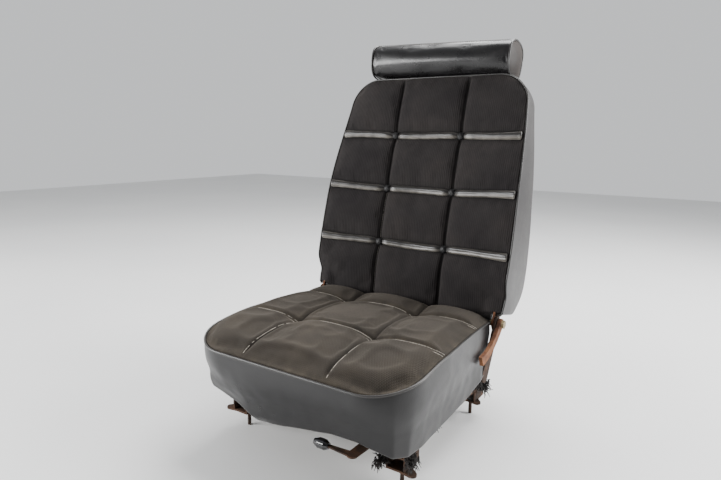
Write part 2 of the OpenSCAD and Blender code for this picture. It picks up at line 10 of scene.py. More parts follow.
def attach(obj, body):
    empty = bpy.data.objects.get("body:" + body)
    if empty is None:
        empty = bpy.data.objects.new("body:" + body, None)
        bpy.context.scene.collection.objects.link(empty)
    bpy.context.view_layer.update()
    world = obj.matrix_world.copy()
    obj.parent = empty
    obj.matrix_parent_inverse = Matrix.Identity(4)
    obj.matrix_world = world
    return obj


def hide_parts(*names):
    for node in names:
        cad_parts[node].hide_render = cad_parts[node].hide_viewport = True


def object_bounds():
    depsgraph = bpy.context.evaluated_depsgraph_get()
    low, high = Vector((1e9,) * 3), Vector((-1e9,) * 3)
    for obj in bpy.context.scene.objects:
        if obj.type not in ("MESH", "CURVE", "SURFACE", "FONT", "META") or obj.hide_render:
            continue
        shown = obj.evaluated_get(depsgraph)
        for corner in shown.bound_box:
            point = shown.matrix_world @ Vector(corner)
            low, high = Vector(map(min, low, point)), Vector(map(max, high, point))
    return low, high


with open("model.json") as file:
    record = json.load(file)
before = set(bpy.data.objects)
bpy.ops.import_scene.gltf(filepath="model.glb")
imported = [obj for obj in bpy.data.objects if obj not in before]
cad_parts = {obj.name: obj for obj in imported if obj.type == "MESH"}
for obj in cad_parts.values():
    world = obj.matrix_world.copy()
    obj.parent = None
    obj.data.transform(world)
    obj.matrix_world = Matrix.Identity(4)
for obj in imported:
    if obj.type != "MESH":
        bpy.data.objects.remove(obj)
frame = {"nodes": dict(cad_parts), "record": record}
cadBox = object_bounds()
print("frame loaded:", len(frame["nodes"]), "nodes")

# camera, floor and lights
viewpoint = {"place": (0.6399, -1.0010, 0.5976), "target": (-0.0854, 0.1148, 0.3505), "rollDeg": 0.64, "lensMm": 27.84}
studio = {"floorLevel": -0.0405, "floorReach": 6.0, "worldHex": "#e6e8ea", "worldStrength": 0.95, "dimSide": 0.12,
          "dimTurnDeg": 57}


def linear(hexText):
    parts = [int(hexText[i:i + 2], 16) / 255 for i in (1, 3, 5)]
    return tuple(c / 12.92 if c <= 0.04045 else ((c + 0.055) / 1.055) ** 2.4 for c in parts) + (1.0,)


def addNode(tree, kind, settings=None, links=None, stops=(), out=0):  # gives back the output that the next node needs
    node = tree.nodes.new("ShaderNode" + kind)
    for key, value in (settings or {}).items():
        if isinstance(key, str) and hasattr(node, key):
            setattr(node, key, value)
        else:
            node.inputs[key].default_value = value
    for key, source in (links or {}).items():
        tree.links.new(source, node.inputs[key])
    while stops and len(node.color_ramp.elements) < len(stops):
        node.color_ramp.elements.new(0.5)
    for n, (position, tone) in enumerate(stops):  # a ramp's stops are hex colours, or shares of the colour below
        node.color_ramp.elements[n].position = position
        node.color_ramp.elements[n].color = linear(tone) if isinstance(tone, str) else (tone, tone, tone, 1.0)
    return node.outputs[out]


def startMaterial(name, settings):
    material = bpy.data.materials.new(name)
    material.use_nodes = True
    tree = material.node_tree
    shader = tree.nodes["Principled BSDF"]
    for key, value in settings.items():
        shader.inputs[key].default_value = linear(value) if isinstance(value, str) else value
    return material, tree, shader


cameraData = bpy.data.cameras.new("sceneCamera")
cameraData.lens = viewpoint["lensMm"]
cameraData.sensor_width = 36
camera = bpy.data.objects.new("sceneCamera", cameraData)
bpy.context.scene.collection.objects.link(camera)
sightLine = Vector(viewpoint["target"]) - Vector(viewpoint["place"])
roll = Matrix.Rotation(math.radians(viewpoint["rollDeg"]), 4, "Z")
camera.matrix_world = Matrix.Translation(viewpoint["place"]) @ sightLine.to_track_quat("-Z", "Y").to_matrix().to_4x4() @ roll
bpy.context.scene.camera = camera

world = bpy.data.worlds.new("studioWorld")
bpy.context.scene.world = world
world.use_nodes = True
skyTree = world.node_tree
skyPlace = addNode(skyTree, "TexCoord")
heading = addNode(skyTree, "Mapping", {"Rotation": (0, 0, math.radians(studio["dimTurnDeg"]))}, {"Vector": skyPlace})
aheadX = addNode(skyTree, "SeparateXYZ", None, {"Vector": heading})
dimming = addNode(skyTree, "MapRange", {  # the open side of the room is dimmer
    "From Min": -0.1, "From Max": 0.9, "To Min": studio["worldStrength"], "To Max": studio["dimSide"]}, {"Value": aheadX})
skyTree.nodes["Background"].inputs["Color"].default_value = linear(studio["worldHex"])
skyTree.links.new(dimming, skyTree.nodes["Background"].inputs["Strength"])

lamps = [  # name, place, target, width, height, watts
    ("windowSoftbox", (-2.4, -2.3, 1.05), (0, 0.1, 0.40), 2.0, 1.1, 185),
    ("sideSoftbox", (2.5, 1.5, 1.5), (0, 0.0, 0.25), 1.6, 1.4, 135),
    ("topSoftbox", (0.2, 1.3, 2.7), (0, 0.0, 0.2), 2.4, 1.6, 135),
]
for name, place, target, width, height, watts in lamps:
    light = bpy.data.lights.new(name, "AREA")
    light.shape = "RECTANGLE"
    light.size, light.size_y, light.energy = width, height, watts
    lamp = bpy.data.objects.new(name, light)
    aim = (Vector(target) - Vector(place)).to_track_quat("-Z", "Y")
    lamp.matrix_world = Matrix.Translation(place) @ aim.to_matrix().to_4x4()
    bpy.context.scene.collection.objects.link(lamp)


def makeObject(name, bm, material, smooth=True):
    mesh = bpy.data.meshes.new(name)
    bmesh.ops.recalc_face_normals(bm, faces=bm.faces)
    for face in bm.faces:
        face.smooth = smooth
    bm.to_mesh(mesh)
    bm.free()
    piece = bpy.data.objects.new(name, mesh)
    bpy.context.scene.collection.objects.link(piece)
    if material is not None:
        mesh.materials.append(material)
    return piece


# laminated white table top: pale, faintly uneven, nearly matt
tableWhite, tree, shader = startMaterial("whiteTableLaminate", {"Base Color": "#e9e9e8", "Roughness": 0.55})
place = addNode(tree, "TexCoord", out="Object")
patches = addNode(tree, "TexNoise", {"Scale": 1000 / 900, "Detail": 2.0, "Roughness": 0.55}, {"Vector": place})
paper = addNode(tree, "ValToRGB", None, {"Fac": patches}, [(0.3, "#e6e6e6"), (0.7, "#ececeb")])
tree.links.new(paper, shader.inputs["Base Color"])
bm = bmesh.new()
bmesh.ops.create_grid(bm, x_segments=4, y_segments=4, size=studio["floorReach"])
bmesh.ops.translate(bm, verts=bm.verts, vec=(0, 0, studio["floorLevel"]))
floor = makeObject("tableTop", bm, tableWhite, False)
print("stage ready")


# woven wool-mix upholstery cloth: matt, fuzzy where seen edge on, ribs or a hopsack weave, lint and soiling, with
# painted shade darkening its creases
def clothMaterial(name, tone):
    material, tree, shader = startMaterial(name, {
        "Base Color": tone["mid"], "Roughness": 0.93, "Specular IOR Level": 0.22,
        "Sheen Weight": tone["sheen"], "Sheen Roughness": 0.55, "Sheen Tint": tone["sheenTint"]})
    place = addNode(tree, "TexCoord", out="Object")
    place = addNode(tree, "Mapping", {"Rotation": tone["turn"]}, {"Vector": place})
    blotches, grime, lint = [  # size in mm, detail, roughness
        addNode(tree, "TexNoise", {"Scale": 1000 / mm, "Detail": detail, "Roughness": uneven}, {"Vector": place})
        for mm, detail, uneven in ((120, 3, 0.6), (28, 5, 0.65), (3.2, 2, 0.7))]
    base = addNode(tree, "ValToRGB", None, {"Fac": blotches},
                   [(0.30, tone["dark"]), (0.50, tone["mid"]), (0.70, tone["pale"])])
    soil = addNode(tree, "ValToRGB", None, {"Fac": grime}, [(0.35, 0.72), (0.62, 1.0)])
    base = addNode(tree, "Mix", {"data_type": "RGBA", "blend_type": "MULTIPLY", 0: 0.55}, {6: base, 7: soil}, out=2)
    ribs = None
    # real ribs are about 1.5 mm; drawn wider so that they show. At a scale of 1 a band repeats every 314.16 mm
    for angle, mm in tone["ribs"]:
        spun = addNode(tree, "Mapping", {"Rotation": (0, 0, math.radians(angle))}, {"Vector": place})
        wave = addNode(tree, "TexWave", {
            "wave_type": "BANDS", "bands_direction": "X", "Scale": 314.16 / mm, "Distortion": 0.9, "Detail": 2.0,
            "Detail Scale": 3.0}, {"Vector": spun}, out="Fac")
        ribs = wave if ribs is None else addNode(tree, "Math", {"operation": "MULTIPLY"}, {0: ribs, 1: wave})
    ribTone = addNode(tree, "ValToRGB", None, {"Fac": ribs}, [(0.0, 0.45), (0.8, 1.15)])
    base = addNode(tree, "Mix", {"data_type": "RGBA", "blend_type": "MULTIPLY", 0: tone["ribShade"]},
                   {6: base, 7: ribTone}, out=2)
    seam = addNode(tree, "Attribute", {"attribute_name": "seam"}, out="Fac")
    creaseShade = addNode(tree, "Attribute", {"attribute_name": "creaseShade"}, out="Fac")
    flecks = addNode(tree, "MapRange", {"From Min": 0.68, "From Max": 0.80, "To Max": 0.28}, {"Value": lint})
    rubbed = addNode(tree, "MapRange", {"From Min": 0.40, "From Max": 0.62}, {"Value": grime})
    worn = addNode(tree, "Math", {"operation": "MULTIPLY"}, {0: seam, 1: rubbed})
    worn = addNode(tree, "Math", {"operation": "MULTIPLY", 1: tone["wearAmount"]}, {0: worn})
    # painted shade: a darker tone laid along the seam creases and beside the strips
    creaseShadeMask = addNode(tree, "Math", {"operation": "MULTIPLY", 1: tone["creaseShadeAmount"]}, {0: creaseShade})
    for mask, shade in ((flecks, tone["lint"]), (worn, tone["wear"]), (creaseShadeMask, tone["creaseShadeHex"])):
        base = addNode(tree, "Mix", {"data_type": "RGBA", 7: linear(shade)}, {0: mask, 6: base}, out=2)
    fine = addNode(tree, "Math", {"operation": "MULTIPLY_ADD", 1: 0.5}, {0: lint, 2: ribs})
    bump = addNode(tree, "Bump", {"Strength": 0.55, "Distance": 0.0009}, {"Height": fine})
    tree.links.new(base, shader.inputs["Base Color"])
    tree.links.new(bump, shader.inputs["Normal"])
    return material


leanRad = math.radians(14.8)
backCloth = clothMaterial("ribbedWoolCloth", {  # hardly faded: near black, ribs run up the backrest
    "turn": (leanRad, 0, 0), "dark": "#1f1c1d", "mid": "#262323", "pale": "#2d2928", "lint": "#413d3b", "wear": "#3f3b36",
    "wearAmount": 0.25, "creaseShadeAmount": 0.75, "creaseShadeHex": "#141313", "ribs": [(0, 4.6)], "ribShade": 0.42,
    "sheen": 0.10, "sheenTint": "#8f8780"})
cushionCloth = clothMaterial("fadedHopsackCloth", {  # sat on and faded: brownish, with a crossed weave
    "turn": (0, 0, 0), "dark": "#26221d", "mid": "#302b26", "pale": "#39332c", "lint": "#51493f", "wear": "#5e5546",
    "wearAmount": 0.35, "creaseShadeAmount": 0.6, "creaseShadeHex": "#1c1916", "ribs": [(32, 2.8), (-32, 2.8)], "ribShade": 0.38,
    "sheen": 0.16, "sheenTint": "#b0a698"})


# calendered PVC upholstery vinyl: fine leather grain, soft broad gloss, scuffed paler on high spots, with a pale
# painted highlight along edges and ridges
def vinylMaterial(name, tone):
    material, tree, shader = startMaterial(name, {
        "Base Color": tone["mid"], "Roughness": tone["rough"], "Specular IOR Level": tone.get("spec", 0.5),
        "Coat Weight": tone.get("coat", 0.0), "Coat Roughness": 0.22})
    place = addNode(tree, "TexCoord", out="Object")
    clouds, scuffs, pores = [  # size in mm, detail, roughness
        addNode(tree, "TexNoise", {"Scale": 1000 / mm, "Detail": detail, "Roughness": uneven}, {"Vector": place})
        for mm, detail, uneven in ((140, 4, 0.6), (22, 6, 0.7), (2.2, 3, 0.6))]
    # the real grain is about 1 mm; drawn coarser so that it shows
    grain = addNode(tree, "TexVoronoi", {"feature": "F1", "Scale": 1000 / 2.6}, {"Vector": place})
    base = addNode(tree, "ValToRGB", None, {"Fac": clouds},
                   [(0.32, tone["dark"]), (0.52, tone["mid"]), (0.72, tone["pale"])])
    scuffed = addNode(tree, "MapRange", {"From Min": 0.60, "From Max": 0.78, "To Max": tone["scuff"]}, {"Value": scuffs})
    # painted highlight: the seam attribute lays the pale edge colour where edges, ridges and seams catch the light
    seam = addNode(tree, "Attribute", {"attribute_name": "seam"}, out="Fac")
    edge = addNode(tree, "Math", {"operation": "MULTIPLY", 1: tone["edgeHighlightAmount"]}, {0: seam})
    for mask, shade in ((scuffed, tone["scuffHex"]), (edge, tone["edgeHighlightHex"])):
        base = addNode(tree, "Mix", {"data_type": "RGBA", 7: linear(shade)}, {0: mask, 6: base}, out=2)
    half = addNode(tree, "Math", {"operation": "MULTIPLY", 1: 0.5}, {0: clouds})
    blend = addNode(tree, "Math", {"operation": "MULTIPLY_ADD", 1: 0.5}, {0: scuffs, 2: half})
    gloss = addNode(tree, "MapRange", {
        "From Min": 0.3, "From Max": 0.7, "To Min": tone["rough"] - 0.06, "To Max": tone["rough"] + 0.10}, {"Value": blend})
    dents = addNode(tree, "Bump", {"Strength": 0.25, "Distance": 0.003}, {"Height": clouds})
    fine = addNode(tree, "Math", {"operation": "MULTIPLY_ADD", 1: 0.6}, {0: pores, 2: grain})
    skin = addNode(tree, "Bump", {"Strength": tone.get("grain", 0.2), "Distance": 0.00035}, {"Height": fine, "Normal": dents})
    tree.links.new(base, shader.inputs["Base Color"])
    tree.links.new(gloss, shader.inputs["Roughness"])
    tree.links.new(skin, shader.inputs["Normal"])
    return material


skirtVinyl = vinylMaterial("blackSkirtVinyl", {  # glossy black where it is stretched over the edge
    "dark": "#0d0c0d", "mid": "#121112", "pale": "#1a1919", "scuff": 0.22, "scuffHex": "#2e2b2a",
    "edgeHighlightHex": "#5d5a57", "edgeHighlightAmount": 0.8, "rough": 0.30, "spec": 0.38, "grain": 0.18})
backVinyl = vinylMaterial("greyedSideVinyl", {  # sun-greyed and duller
    "dark": "#242222", "mid": "#2e2b2a", "pale": "#373433", "scuff": 0.35, "scuffHex": "#494542",
    "edgeHighlightHex": "#8a8682", "edgeHighlightAmount": 0.8, "rough": 0.44, "coat": 0.08, "grain": 0.35})
headVinyl = vinylMaterial("blackHeadrestVinyl", {  # handled often: the glossiest
    "dark": "#0f0e0f", "mid": "#151415", "pale": "#1d1b1c", "scuff": 0.20, "scuffHex": "#38322f",
    "edgeHighlightHex": "#4b4440", "edgeHighlightAmount": 0.7, "rough": 0.27, "spec": 0.40})
headEndVinyl = vinylMaterial("brownedEndVinyl", {  # browned and matt, never polished
    "dark": "#1a1614", "mid": "#26201d", "pale": "#352d29", "scuff": 0.30, "scuffHex": "#4a403a",
    "edgeHighlightHex": "#4b4440", "edgeHighlightAmount": 0.5, "rough": 0.52, "spec": 0.24, "grain": 0.25})
buttonVinyl = vinylMaterial("dulledButtonVinyl", {  # dull, and darkened with painted shade where it sits deep in the tufts
    "dark": "#0b0a0b", "mid": "#100f10", "pale": "#171616", "scuff": 0.15, "scuffHex": "#2b2826",
    "edgeHighlightHex": "#2b2826", "edgeHighlightAmount": 0.5, "rough": 0.46, "spec": 0.28})
stripVinyl = vinylMaterial("glossyStripVinyl", {  # high gloss, with painted highlights along its ridges
    "dark": "#141213", "mid": "#1c1a1a", "pale": "#2a2727", "scuff": 0.45, "scuffHex": "#45403d",
    "edgeHighlightHex": "#79746c", "edgeHighlightAmount": 0.9, "rough": 0.32, "spec": 0.40})
pipingVinyl = vinylMaterial("wornPipingVinyl", {  # rubbed grey on its crown
    "dark": "#1d1c1b", "mid": "#2a2827", "pale": "#3c3937", "scuff": 0.4, "scuffHex": "#625e59",
    "edgeHighlightHex": "#6f6b66", "edgeHighlightAmount": 0.5, "rough": 0.38, "coat": 0.10})
darkPipingVinyl = vinylMaterial("blackPipingVinyl", {  # less rubbed, nearly black
    "dark": "#1c1b1b", "mid": "#2b2929", "pale": "#3d3a39", "scuff": 0.3, "scuffHex": "#5c5855",
    "edgeHighlightHex": "#5c5855", "edgeHighlightAmount": 0.5, "rough": 0.34, "coat": 0.15})


# mild steel with years of rust: matt orange-brown scale over darker pitted patches
def rustMaterial(name, tone):
    material, tree, shader = startMaterial(name, {"Roughness": 0.85, "Metallic": 0.0, "Specular IOR Level": 0.3})
    place = addNode(tree, "TexCoord", out="Object")
    patches, scale = [  # size in mm, detail, roughness
        addNode(tree, "TexNoise", {"Scale": 1000 / mm, "Detail": detail, "Roughness": uneven}, {"Vector": place})
        for mm, detail, uneven in ((30, 6, 0.65), (6, 5, 0.7))]
    base = addNode(tree, "ValToRGB", None, {"Fac": patches},
                   [(0.30, tone["dark"]), (0.48, tone["mid"]), (0.66, tone["pale"])])
    pits = addNode(tree, "ValToRGB", None, {"Fac": scale}, [(0.3, 0.55), (0.6, 1.0)])
    base = addNode(tree, "Mix", {"data_type": "RGBA", "blend_type": "MULTIPLY", 0: 0.6}, {6: base, 7: pits}, out=2)
    bare = addNode(tree, "MapRange", {"From Min": 0.66, "From Max": 0.74, "To Max": tone["bare"]}, {"Value": patches})
    base = addNode(tree, "Mix", {"data_type": "RGBA", 7: linear("#6b6763")}, {0: bare, 6: base}, out=2)
    shine = addNode(tree, "Math", {"operation": "MULTIPLY", 1: 0.6}, {0: bare})
    rough = addNode(tree, "MapRange", {"From Min": 0.3, "From Max": 0.7, "To Min": 0.62, "To Max": 0.95}, {"Value": scale})
    crust = addNode(tree, "Math", {"operation": "MULTIPLY_ADD", 1: 0.5}, {0: scale, 2: patches})
    bump = addNode(tree, "Bump", {"Strength": 0.7, "Distance": 0.0012}, {"Height": crust})
    for socket, source in (("Base Color", base), ("Metallic", shine), ("Roughness", rough), ("Normal", bump)):
        tree.links.new(source, shader.inputs[socket])
    return material


orangeRust = rustMaterial("rustedMildSteel", {"dark": "#3c261b", "mid": "#6d4630", "pale": "#8f603f", "bare": 0.15})
# the same rust made darker and browner: painted shade for the pieces under the seat
shadeDarkenedRust = rustMaterial("shadeDarkenedRustedSteel", {"dark": "#211812", "mid": "#3d2b20", "pale": "#5a3f2d", "bare": 0.30})


# small plated, moulded and spun parts: two close tones in cloudy patches, uneven gloss, fine unevenness
def plainMaterial(name, tone):
    material, tree, shader = startMaterial(name, {
        "Metallic": tone.get("metal", 0.0), "Roughness": tone["rough"], "Coat Weight": tone.get("coat", 0.0)})
    place = addNode(tree, "TexCoord", out="Object")
    clouds, fine = [  # size in mm, detail, roughness
        addNode(tree, "TexNoise", {"Scale": 1000 / mm, "Detail": detail, "Roughness": uneven}, {"Vector": place})
        for mm, detail, uneven in ((tone["mm"], 5, 0.65), (tone.get("fineMm", 2.0), 4, 0.55))]
    base = addNode(tree, "ValToRGB", None, {"Fac": clouds}, [(0.35, tone["dark"]), (0.65, tone["pale"])])
    gloss = addNode(tree, "MapRange", {
        "From Min": 0.3, "From Max": 0.7, "To Min": tone["rough"] * 0.8, "To Max": min(1.0, tone["rough"] * 1.3)},
        {"Value": clouds})
    bump = addNode(tree, "Bump", {"Strength": tone.get("bump", 0.2), "Distance": 0.0005}, {"Height": fine})
    for socket, source in (("Base Color", base), ("Roughness", gloss), ("Normal", bump)):
        tree.links.new(source, shader.inputs[socket])
    return material


# zinc-plated steel gone dull: a yellowish grey with soft glints
zincPlate = plainMaterial("dulledZincPlate", {"dark": "#7a6c4c", "pale": "#a8997a", "rough": 0.45, "metal": 0.85, "mm": 9.0})
# drawn spring steel under old oil: dark, evenly bright along the wire
springSteel = plainMaterial("oiledSpringSteel", {"dark": "#4c4844", "pale": "#7c766f", "rough": 0.40, "metal": 0.9, "mm": 8.0})
# chrome-plated steel tube: a clear mirror
chromePlate = plainMaterial("chromePlatedSteel", {"dark": "#b9babc", "pale": "#d2d3d5", "rough": 0.12, "metal": 1.0, "mm": 30.0,
                                                  "bump": 0.05})
# moulded nylon, yellowed by age: waxy
yellowNylon = plainMaterial("agedNylon", {"dark": "#8f7736", "pale": "#bda45a", "rough": 0.45, "mm": 8.0})
# moulded phenolic, polished by hands: black with sharp highlights
knobPlastic = plainMaterial("glossyBlackPhenolic", {"dark": "#101012", "pale": "#1b1b1e", "rough": 0.16, "mm": 20.0,
                                                   "coat": 0.5, "bump": 0.06})
# rubber-faced woven webbing: dull, dusty black
webbing = plainMaterial("rubberisedWebbing", {"dark": "#1f1d1c", "pale": "#3a3531", "rough": 0.8, "mm": 6.0, "bump": 0.8})
# cast polyether foam: yellowed, open-celled and quite matt
oldFoam = plainMaterial("agedPolyetherFoam", {"dark": "#8a7538", "pale": "#b49c55", "rough": 0.95, "mm": 12.0,
                                              "fineMm": 3.0, "bump": 1.0})
# spun polyester thread, pale grey where clean, brownish where soiled
lightThread = plainMaterial("greyPolyesterThread", {"dark": "#7d776e", "pale": "#aca59a", "rough": 0.8, "mm": 14.0})
soiledThread = plainMaterial("soiledPolyesterThread", {"dark": "#3d3a36", "pale": "#6d6861", "rough": 0.8, "mm": 14.0})
# carpet yarn pulled loose: black, without shine
blackThread = plainMaterial("frayedBlackYarn", {"dark": "#171514", "pale": "#2b2724", "rough": 0.95, "mm": 5.0})

slotFinish = {"rusty_steel": orangeRust, "zinc_bolt": zincPlate, "spring_steel": springSteel, "chrome_post": chromePlate,
              "nylon": yellowNylon, "black_plastic": knobPlastic, "rubber_webbing": webbing, "seat_foam_fill": oldFoam,
              "seat_fabric": cushionCloth, "back_fabric": backCloth, "black_vinyl": skirtVinyl}
shadedSteel = [  # pieces under the seat take a darker copy of the rust than those in the open: painted shade
    "slide_lever", "pan_side_left", "pan_side_right", "front_cross_tube", "rear_cross_tube", "lower_rail_left",
    "lower_rail_right", "front_feet", "rear_feet", "floor_studs", "hinge_bracket_left", "hinge_bracket_right",
    "recline_pawl", "upper_rail_left", "upper_rail_right", "headrest_plate"]
for row in frame["record"]["subparts"]:
    node = frame["nodes"][row["node"] if "node" in row else row["name"]]
    node.data.materials.clear()
    node.data.materials.append(shadeDarkenedRust if node.name in shadedSteel else slotFinish[row["material_slot"]])
print("materials ready")


def smooth(value, low, high):
    t = min(1.0, max(0.0, (value - low) / (high - low)))
    return t * t * (3 - 2 * t)


def alongKnots(step, knots, ease=0.42):  # closer grid lines beside each seam
    for (a, first), (b, second) in zip(knots, knots[1:]):
        if step <= b:
            f = (step - a) / (b - a)
            f -= ease * math.sin(2 * math.pi * f) / (2 * math.pi)
            return first + (second - first) * f
    return knots[-1][1]


def pillow(a, b):
    return max(0.0, (1 - abs(a) ** 2.4) * (1 - abs(b) ** 2.4)) ** 0.55


def roundPillow(a, b):
    return max(0.0, (1 - a * a) * (1 - b * b)) ** 0.72


def wander(x, y, z, mm, seedShift=0.0):
    return noise.noise(Vector((x, y, z)) * (1000.0 / mm) + Vector((seedShift, seedShift * 0.7, -seedShift)))


def gridSheet(columns, rows, place, layers=()):
    bm = bmesh.new()
    bmesh.ops.create_grid(bm, x_segments=columns, y_segments=rows, size=1)
    made = {name: bm.verts.layers.float.new(name) for name in layers}
    for vert in bm.verts:
        i, j = round((vert.co.x + 1) / 2 * columns), round((vert.co.y + 1) / 2 * rows)
        spot = place(i, j)
        vert.co = spot[0]
        for name, value in (spot[1] if len(spot) > 1 else {}).items():
            vert[made[name]] = value
    return bm


def evenly(points, count):  # a closed path's points, spaced evenly along it
    ring = points + [points[0]]
    lengths = [0.0]
    for a, b in zip(ring, ring[1:]):
        lengths.append(lengths[-1] + (Vector(b) - Vector(a)).length)
    spaced, k = [], 0
    for i in range(count):
        target = lengths[-1] * i / count
        while lengths[k + 1] < target:
            k += 1
        span = lengths[k + 1] - lengths[k]
        f = (target - lengths[k]) / span if span > 0 else 0
        spaced.append(Vector(ring[k]).lerp(Vector(ring[k + 1]), f))
    return spaced


def outwardOf(path, index):  # flat outward normal of a closed path that runs anticlockwise
    ahead, behind = path[(index + 1) % len(path)], path[index - 1]
    run = (ahead - behind).normalized()
    return Vector((run.y, -run.x))


def tube(points, sides, radius, aim, closed=True, squeeze=1.0):  # aim gives each point's outward direction
    count = len(points)
    steps = count if closed else count - 1

    def place(i, j):
        k = i % count
        ahead = points[(k + 1) % count] if closed or k + 1 < count else points[k]
        behind = points[k - 1] if closed or k > 0 else points[k]
        run = (ahead - behind).normalized()
        across = (aim(k) - run * aim(k).dot(run)).normalized()
        up = run.cross(across)
        turn = 2 * math.pi * j / sides
        thick = radius(k) if callable(radius) else radius
        return (points[k] + (across * math.cos(turn) + up * math.sin(turn) * squeeze) * thick,)

    bm = gridSheet(steps, sides, place)
    bmesh.ops.remove_doubles(bm, verts=bm.verts, dist=0.00001)
    if not closed:
        bmesh.ops.holes_fill(bm, edges=[e for e in bm.edges if e.is_boundary], sides=0)
    return bm


def gather(whole, bm):  # adds a finished part to a larger mesh
    part = bpy.data.meshes.new("part")
    bm.to_mesh(part)
    bm.free()
    whole.from_mesh(part)
    bpy.data.meshes.remove(part)


def finish(piece, body, slotName, *nodes):
    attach(piece, body)
    if nodes:
        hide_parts(*nodes)
    return piece


def subdivided(piece, levels=1):
    step = piece.modifiers.new("subdivision", "SUBSURF")
    step.levels = step.render_levels = levels
    return piece


# Blows a sewn cover up from inside, held at its seams, and keeps the result as the mesh
def inflate(piece, hold, pressure, capMm, growth, frames=16):
    group = piece.vertex_groups.new(name="held")
    for vert in piece.data.vertices:
        group.add([vert.index], hold(vert.co), "REPLACE")
    start = [vert.co.copy() for vert in piece.data.vertices]
    cloth = piece.modifiers.new("padding", "CLOTH")
    sheet = cloth.settings
    sheet.vertex_group_mass = "held"
    sheet.pin_stiffness = 50
    sheet.mass = 0.3
    sheet.quality = 6
    sheet.tension_stiffness = sheet.compression_stiffness = 18
    sheet.shear_stiffness = 8
    sheet.bending_stiffness = 2.5
    sheet.use_pressure = True
    sheet.uniform_pressure_force = pressure
    sheet.shrink_min = -growth
    sheet.effector_weights.gravity = 0
    cloth.collision_settings.use_collision = False
    scene = bpy.context.scene
    for step in range(1, frames + 1):
        scene.frame_set(step)
        bpy.context.view_layer.update()
    solved = piece.evaluated_get(bpy.context.evaluated_depsgraph_get()).data
    ends = [vert.co.copy() for vert in solved.vertices]
    piece.modifiers.remove(cloth)
    for vert, before, after in zip(piece.data.vertices, start, ends):
        shift = after - before
        if shift.length > capMm / 1000:
            shift = shift.normalized() * capMm / 1000 * (1 + 0.15 * math.tanh(shift.length * 1000 / capMm - 1))
        vert.co = before + shift
    piece.vertex_groups.clear()
    scene.frame_set(1)
    piece.data.update()
    print("padded", piece.name, "largest move mm", round(1000 * max((a - b).length for a, b in zip(ends, start)), 1))


def closeBehind(piece, shift, backFinish):  # walls and a back face behind an open padded panel
    bm = bmesh.new()
    bm.from_mesh(piece.data)
    piece.data.materials.append(backFinish)
    rim = [e for e in bm.edges if e.is_boundary]
    out = bmesh.ops.extrude_edge_only(bm, edges=rim)["geom"]
    newVerts = [g for g in out if isinstance(g, bmesh.types.BMVert)]
    for face in [g for g in out if isinstance(g, bmesh.types.BMFace)]:
        face.material_index = 1
    for vert in newVerts:
        vert.co = shift(vert.co)
    rim = [g for g in out if isinstance(g, bmesh.types.BMEdge) and g.is_boundary]
    for face in bmesh.ops.edgeloop_fill(bm, edges=rim)["faces"]:
        face.material_index = 1
    bmesh.ops.triangulate(bm, faces=[f for f in bm.faces if len(f.verts) > 4])
    bmesh.ops.recalc_face_normals(bm, faces=bm.faces)
    for face in bm.faces:
        face.smooth = True
    bm.to_mesh(piece.data)
    bm.free()


# the cushion: nine tufted pillows over a foam body, a loose vinyl skirt and its piping

cushion = {"half": 0.250, "rearHalf": 0.2315, "frontY": -0.283, "rearY": 0.174, "cornerRadius": 0.090, "crownY": -0.090,
           "topZ": 0.204, "frontDrop": 0.027, "rearDrop": 0.014, "rowSeams": (-0.073, 0.112), "seamRear": 0.088,
           "seamFront": 0.097, "edgeRise": 0.013, "crown": 0.004, "dome": 0.0135, "creaseDepth": 0.0055,
           "tuftDepth": 0.0150, "tuftReach": 0.032, "foamBottom": 0.1068, "taperFrom": -0.095, "rearClip": 0.020,
           "length": 0.457, "columns": 106, "rows": 98, "rimSteps": 260}
cushionColumns = [(0, -2), (33, -1), (73, 1), (106, 2)]
cushionEnd = -cushion["frontY"] - cushion["cornerRadius"] * (1 - math.sqrt(0.5))
cushionRows = [(0, -cushion["rearY"]), (22, cushion["rowSeams"][0]), (62, cushion["rowSeams"][1]), (98, cushionEnd)]


def cushionHalf(f):  # half width at a distance f in front of the zero line
    y = -f
    share = max(0.0, y - cushion["taperFrom"]) / (cushion["rearY"] - cushion["taperFrom"])
    half = cushion["half"] - (cushion["half"] - cushion["rearHalf"]) * share
    clip = max(0.0, y - (cushion["rearY"] - cushion["rearClip"])) / cushion["rearClip"]
    return half - 0.008 * clip * clip


def cushionTopZ(y):
    ahead = y < cushion["crownY"]
    drop, end = (cushion["frontDrop"], cushion["frontY"]) if ahead else (cushion["rearDrop"], cushion["rearY"])
    return cushion["topZ"] - drop * ((y - cushion["crownY"]) / (end - cushion["crownY"])) ** 2


def roundedPanel(p, along, halfAt, seamX, endLine, radius, lastSeam):
    # p runs -2..2 across with seams at -1 and 1; along runs to the 45 degree point of the far corners
    centre = endLine - radius
    half = halfAt(min(along, centre))
    if along > centre:
        half = half - radius + math.sqrt(max(0.0, radius ** 2 - (along - centre) ** 2))
    x = seamX * p if abs(p) <= 1 else math.copysign(seamX + (abs(p) - 1) * (half - seamX), p)
    last = centre + radius * math.sqrt(0.5)
    flat = halfAt(centre) - radius
    line = endLine if abs(x) <= flat else centre + math.sqrt(max(0.0, radius ** 2 - (abs(x) - flat) ** 2))
    weight = max(0.0, (along - lastSeam) / (last - lastSeam))
    return x, along + weight ** 1.5 * max(0.0, line - last)


def cushionSeamX(f):
    return cushion["seamRear"] + (cushion["seamFront"] - cushion["seamRear"]) * (f + cushion["rearY"]) / cushion["length"]


def cushionSpot(p, along):
    return roundedPanel(p, along, cushionHalf, cushionSeamX(along), -cushion["frontY"], cushion["cornerRadius"],
                        cushion["rowSeams"][1])


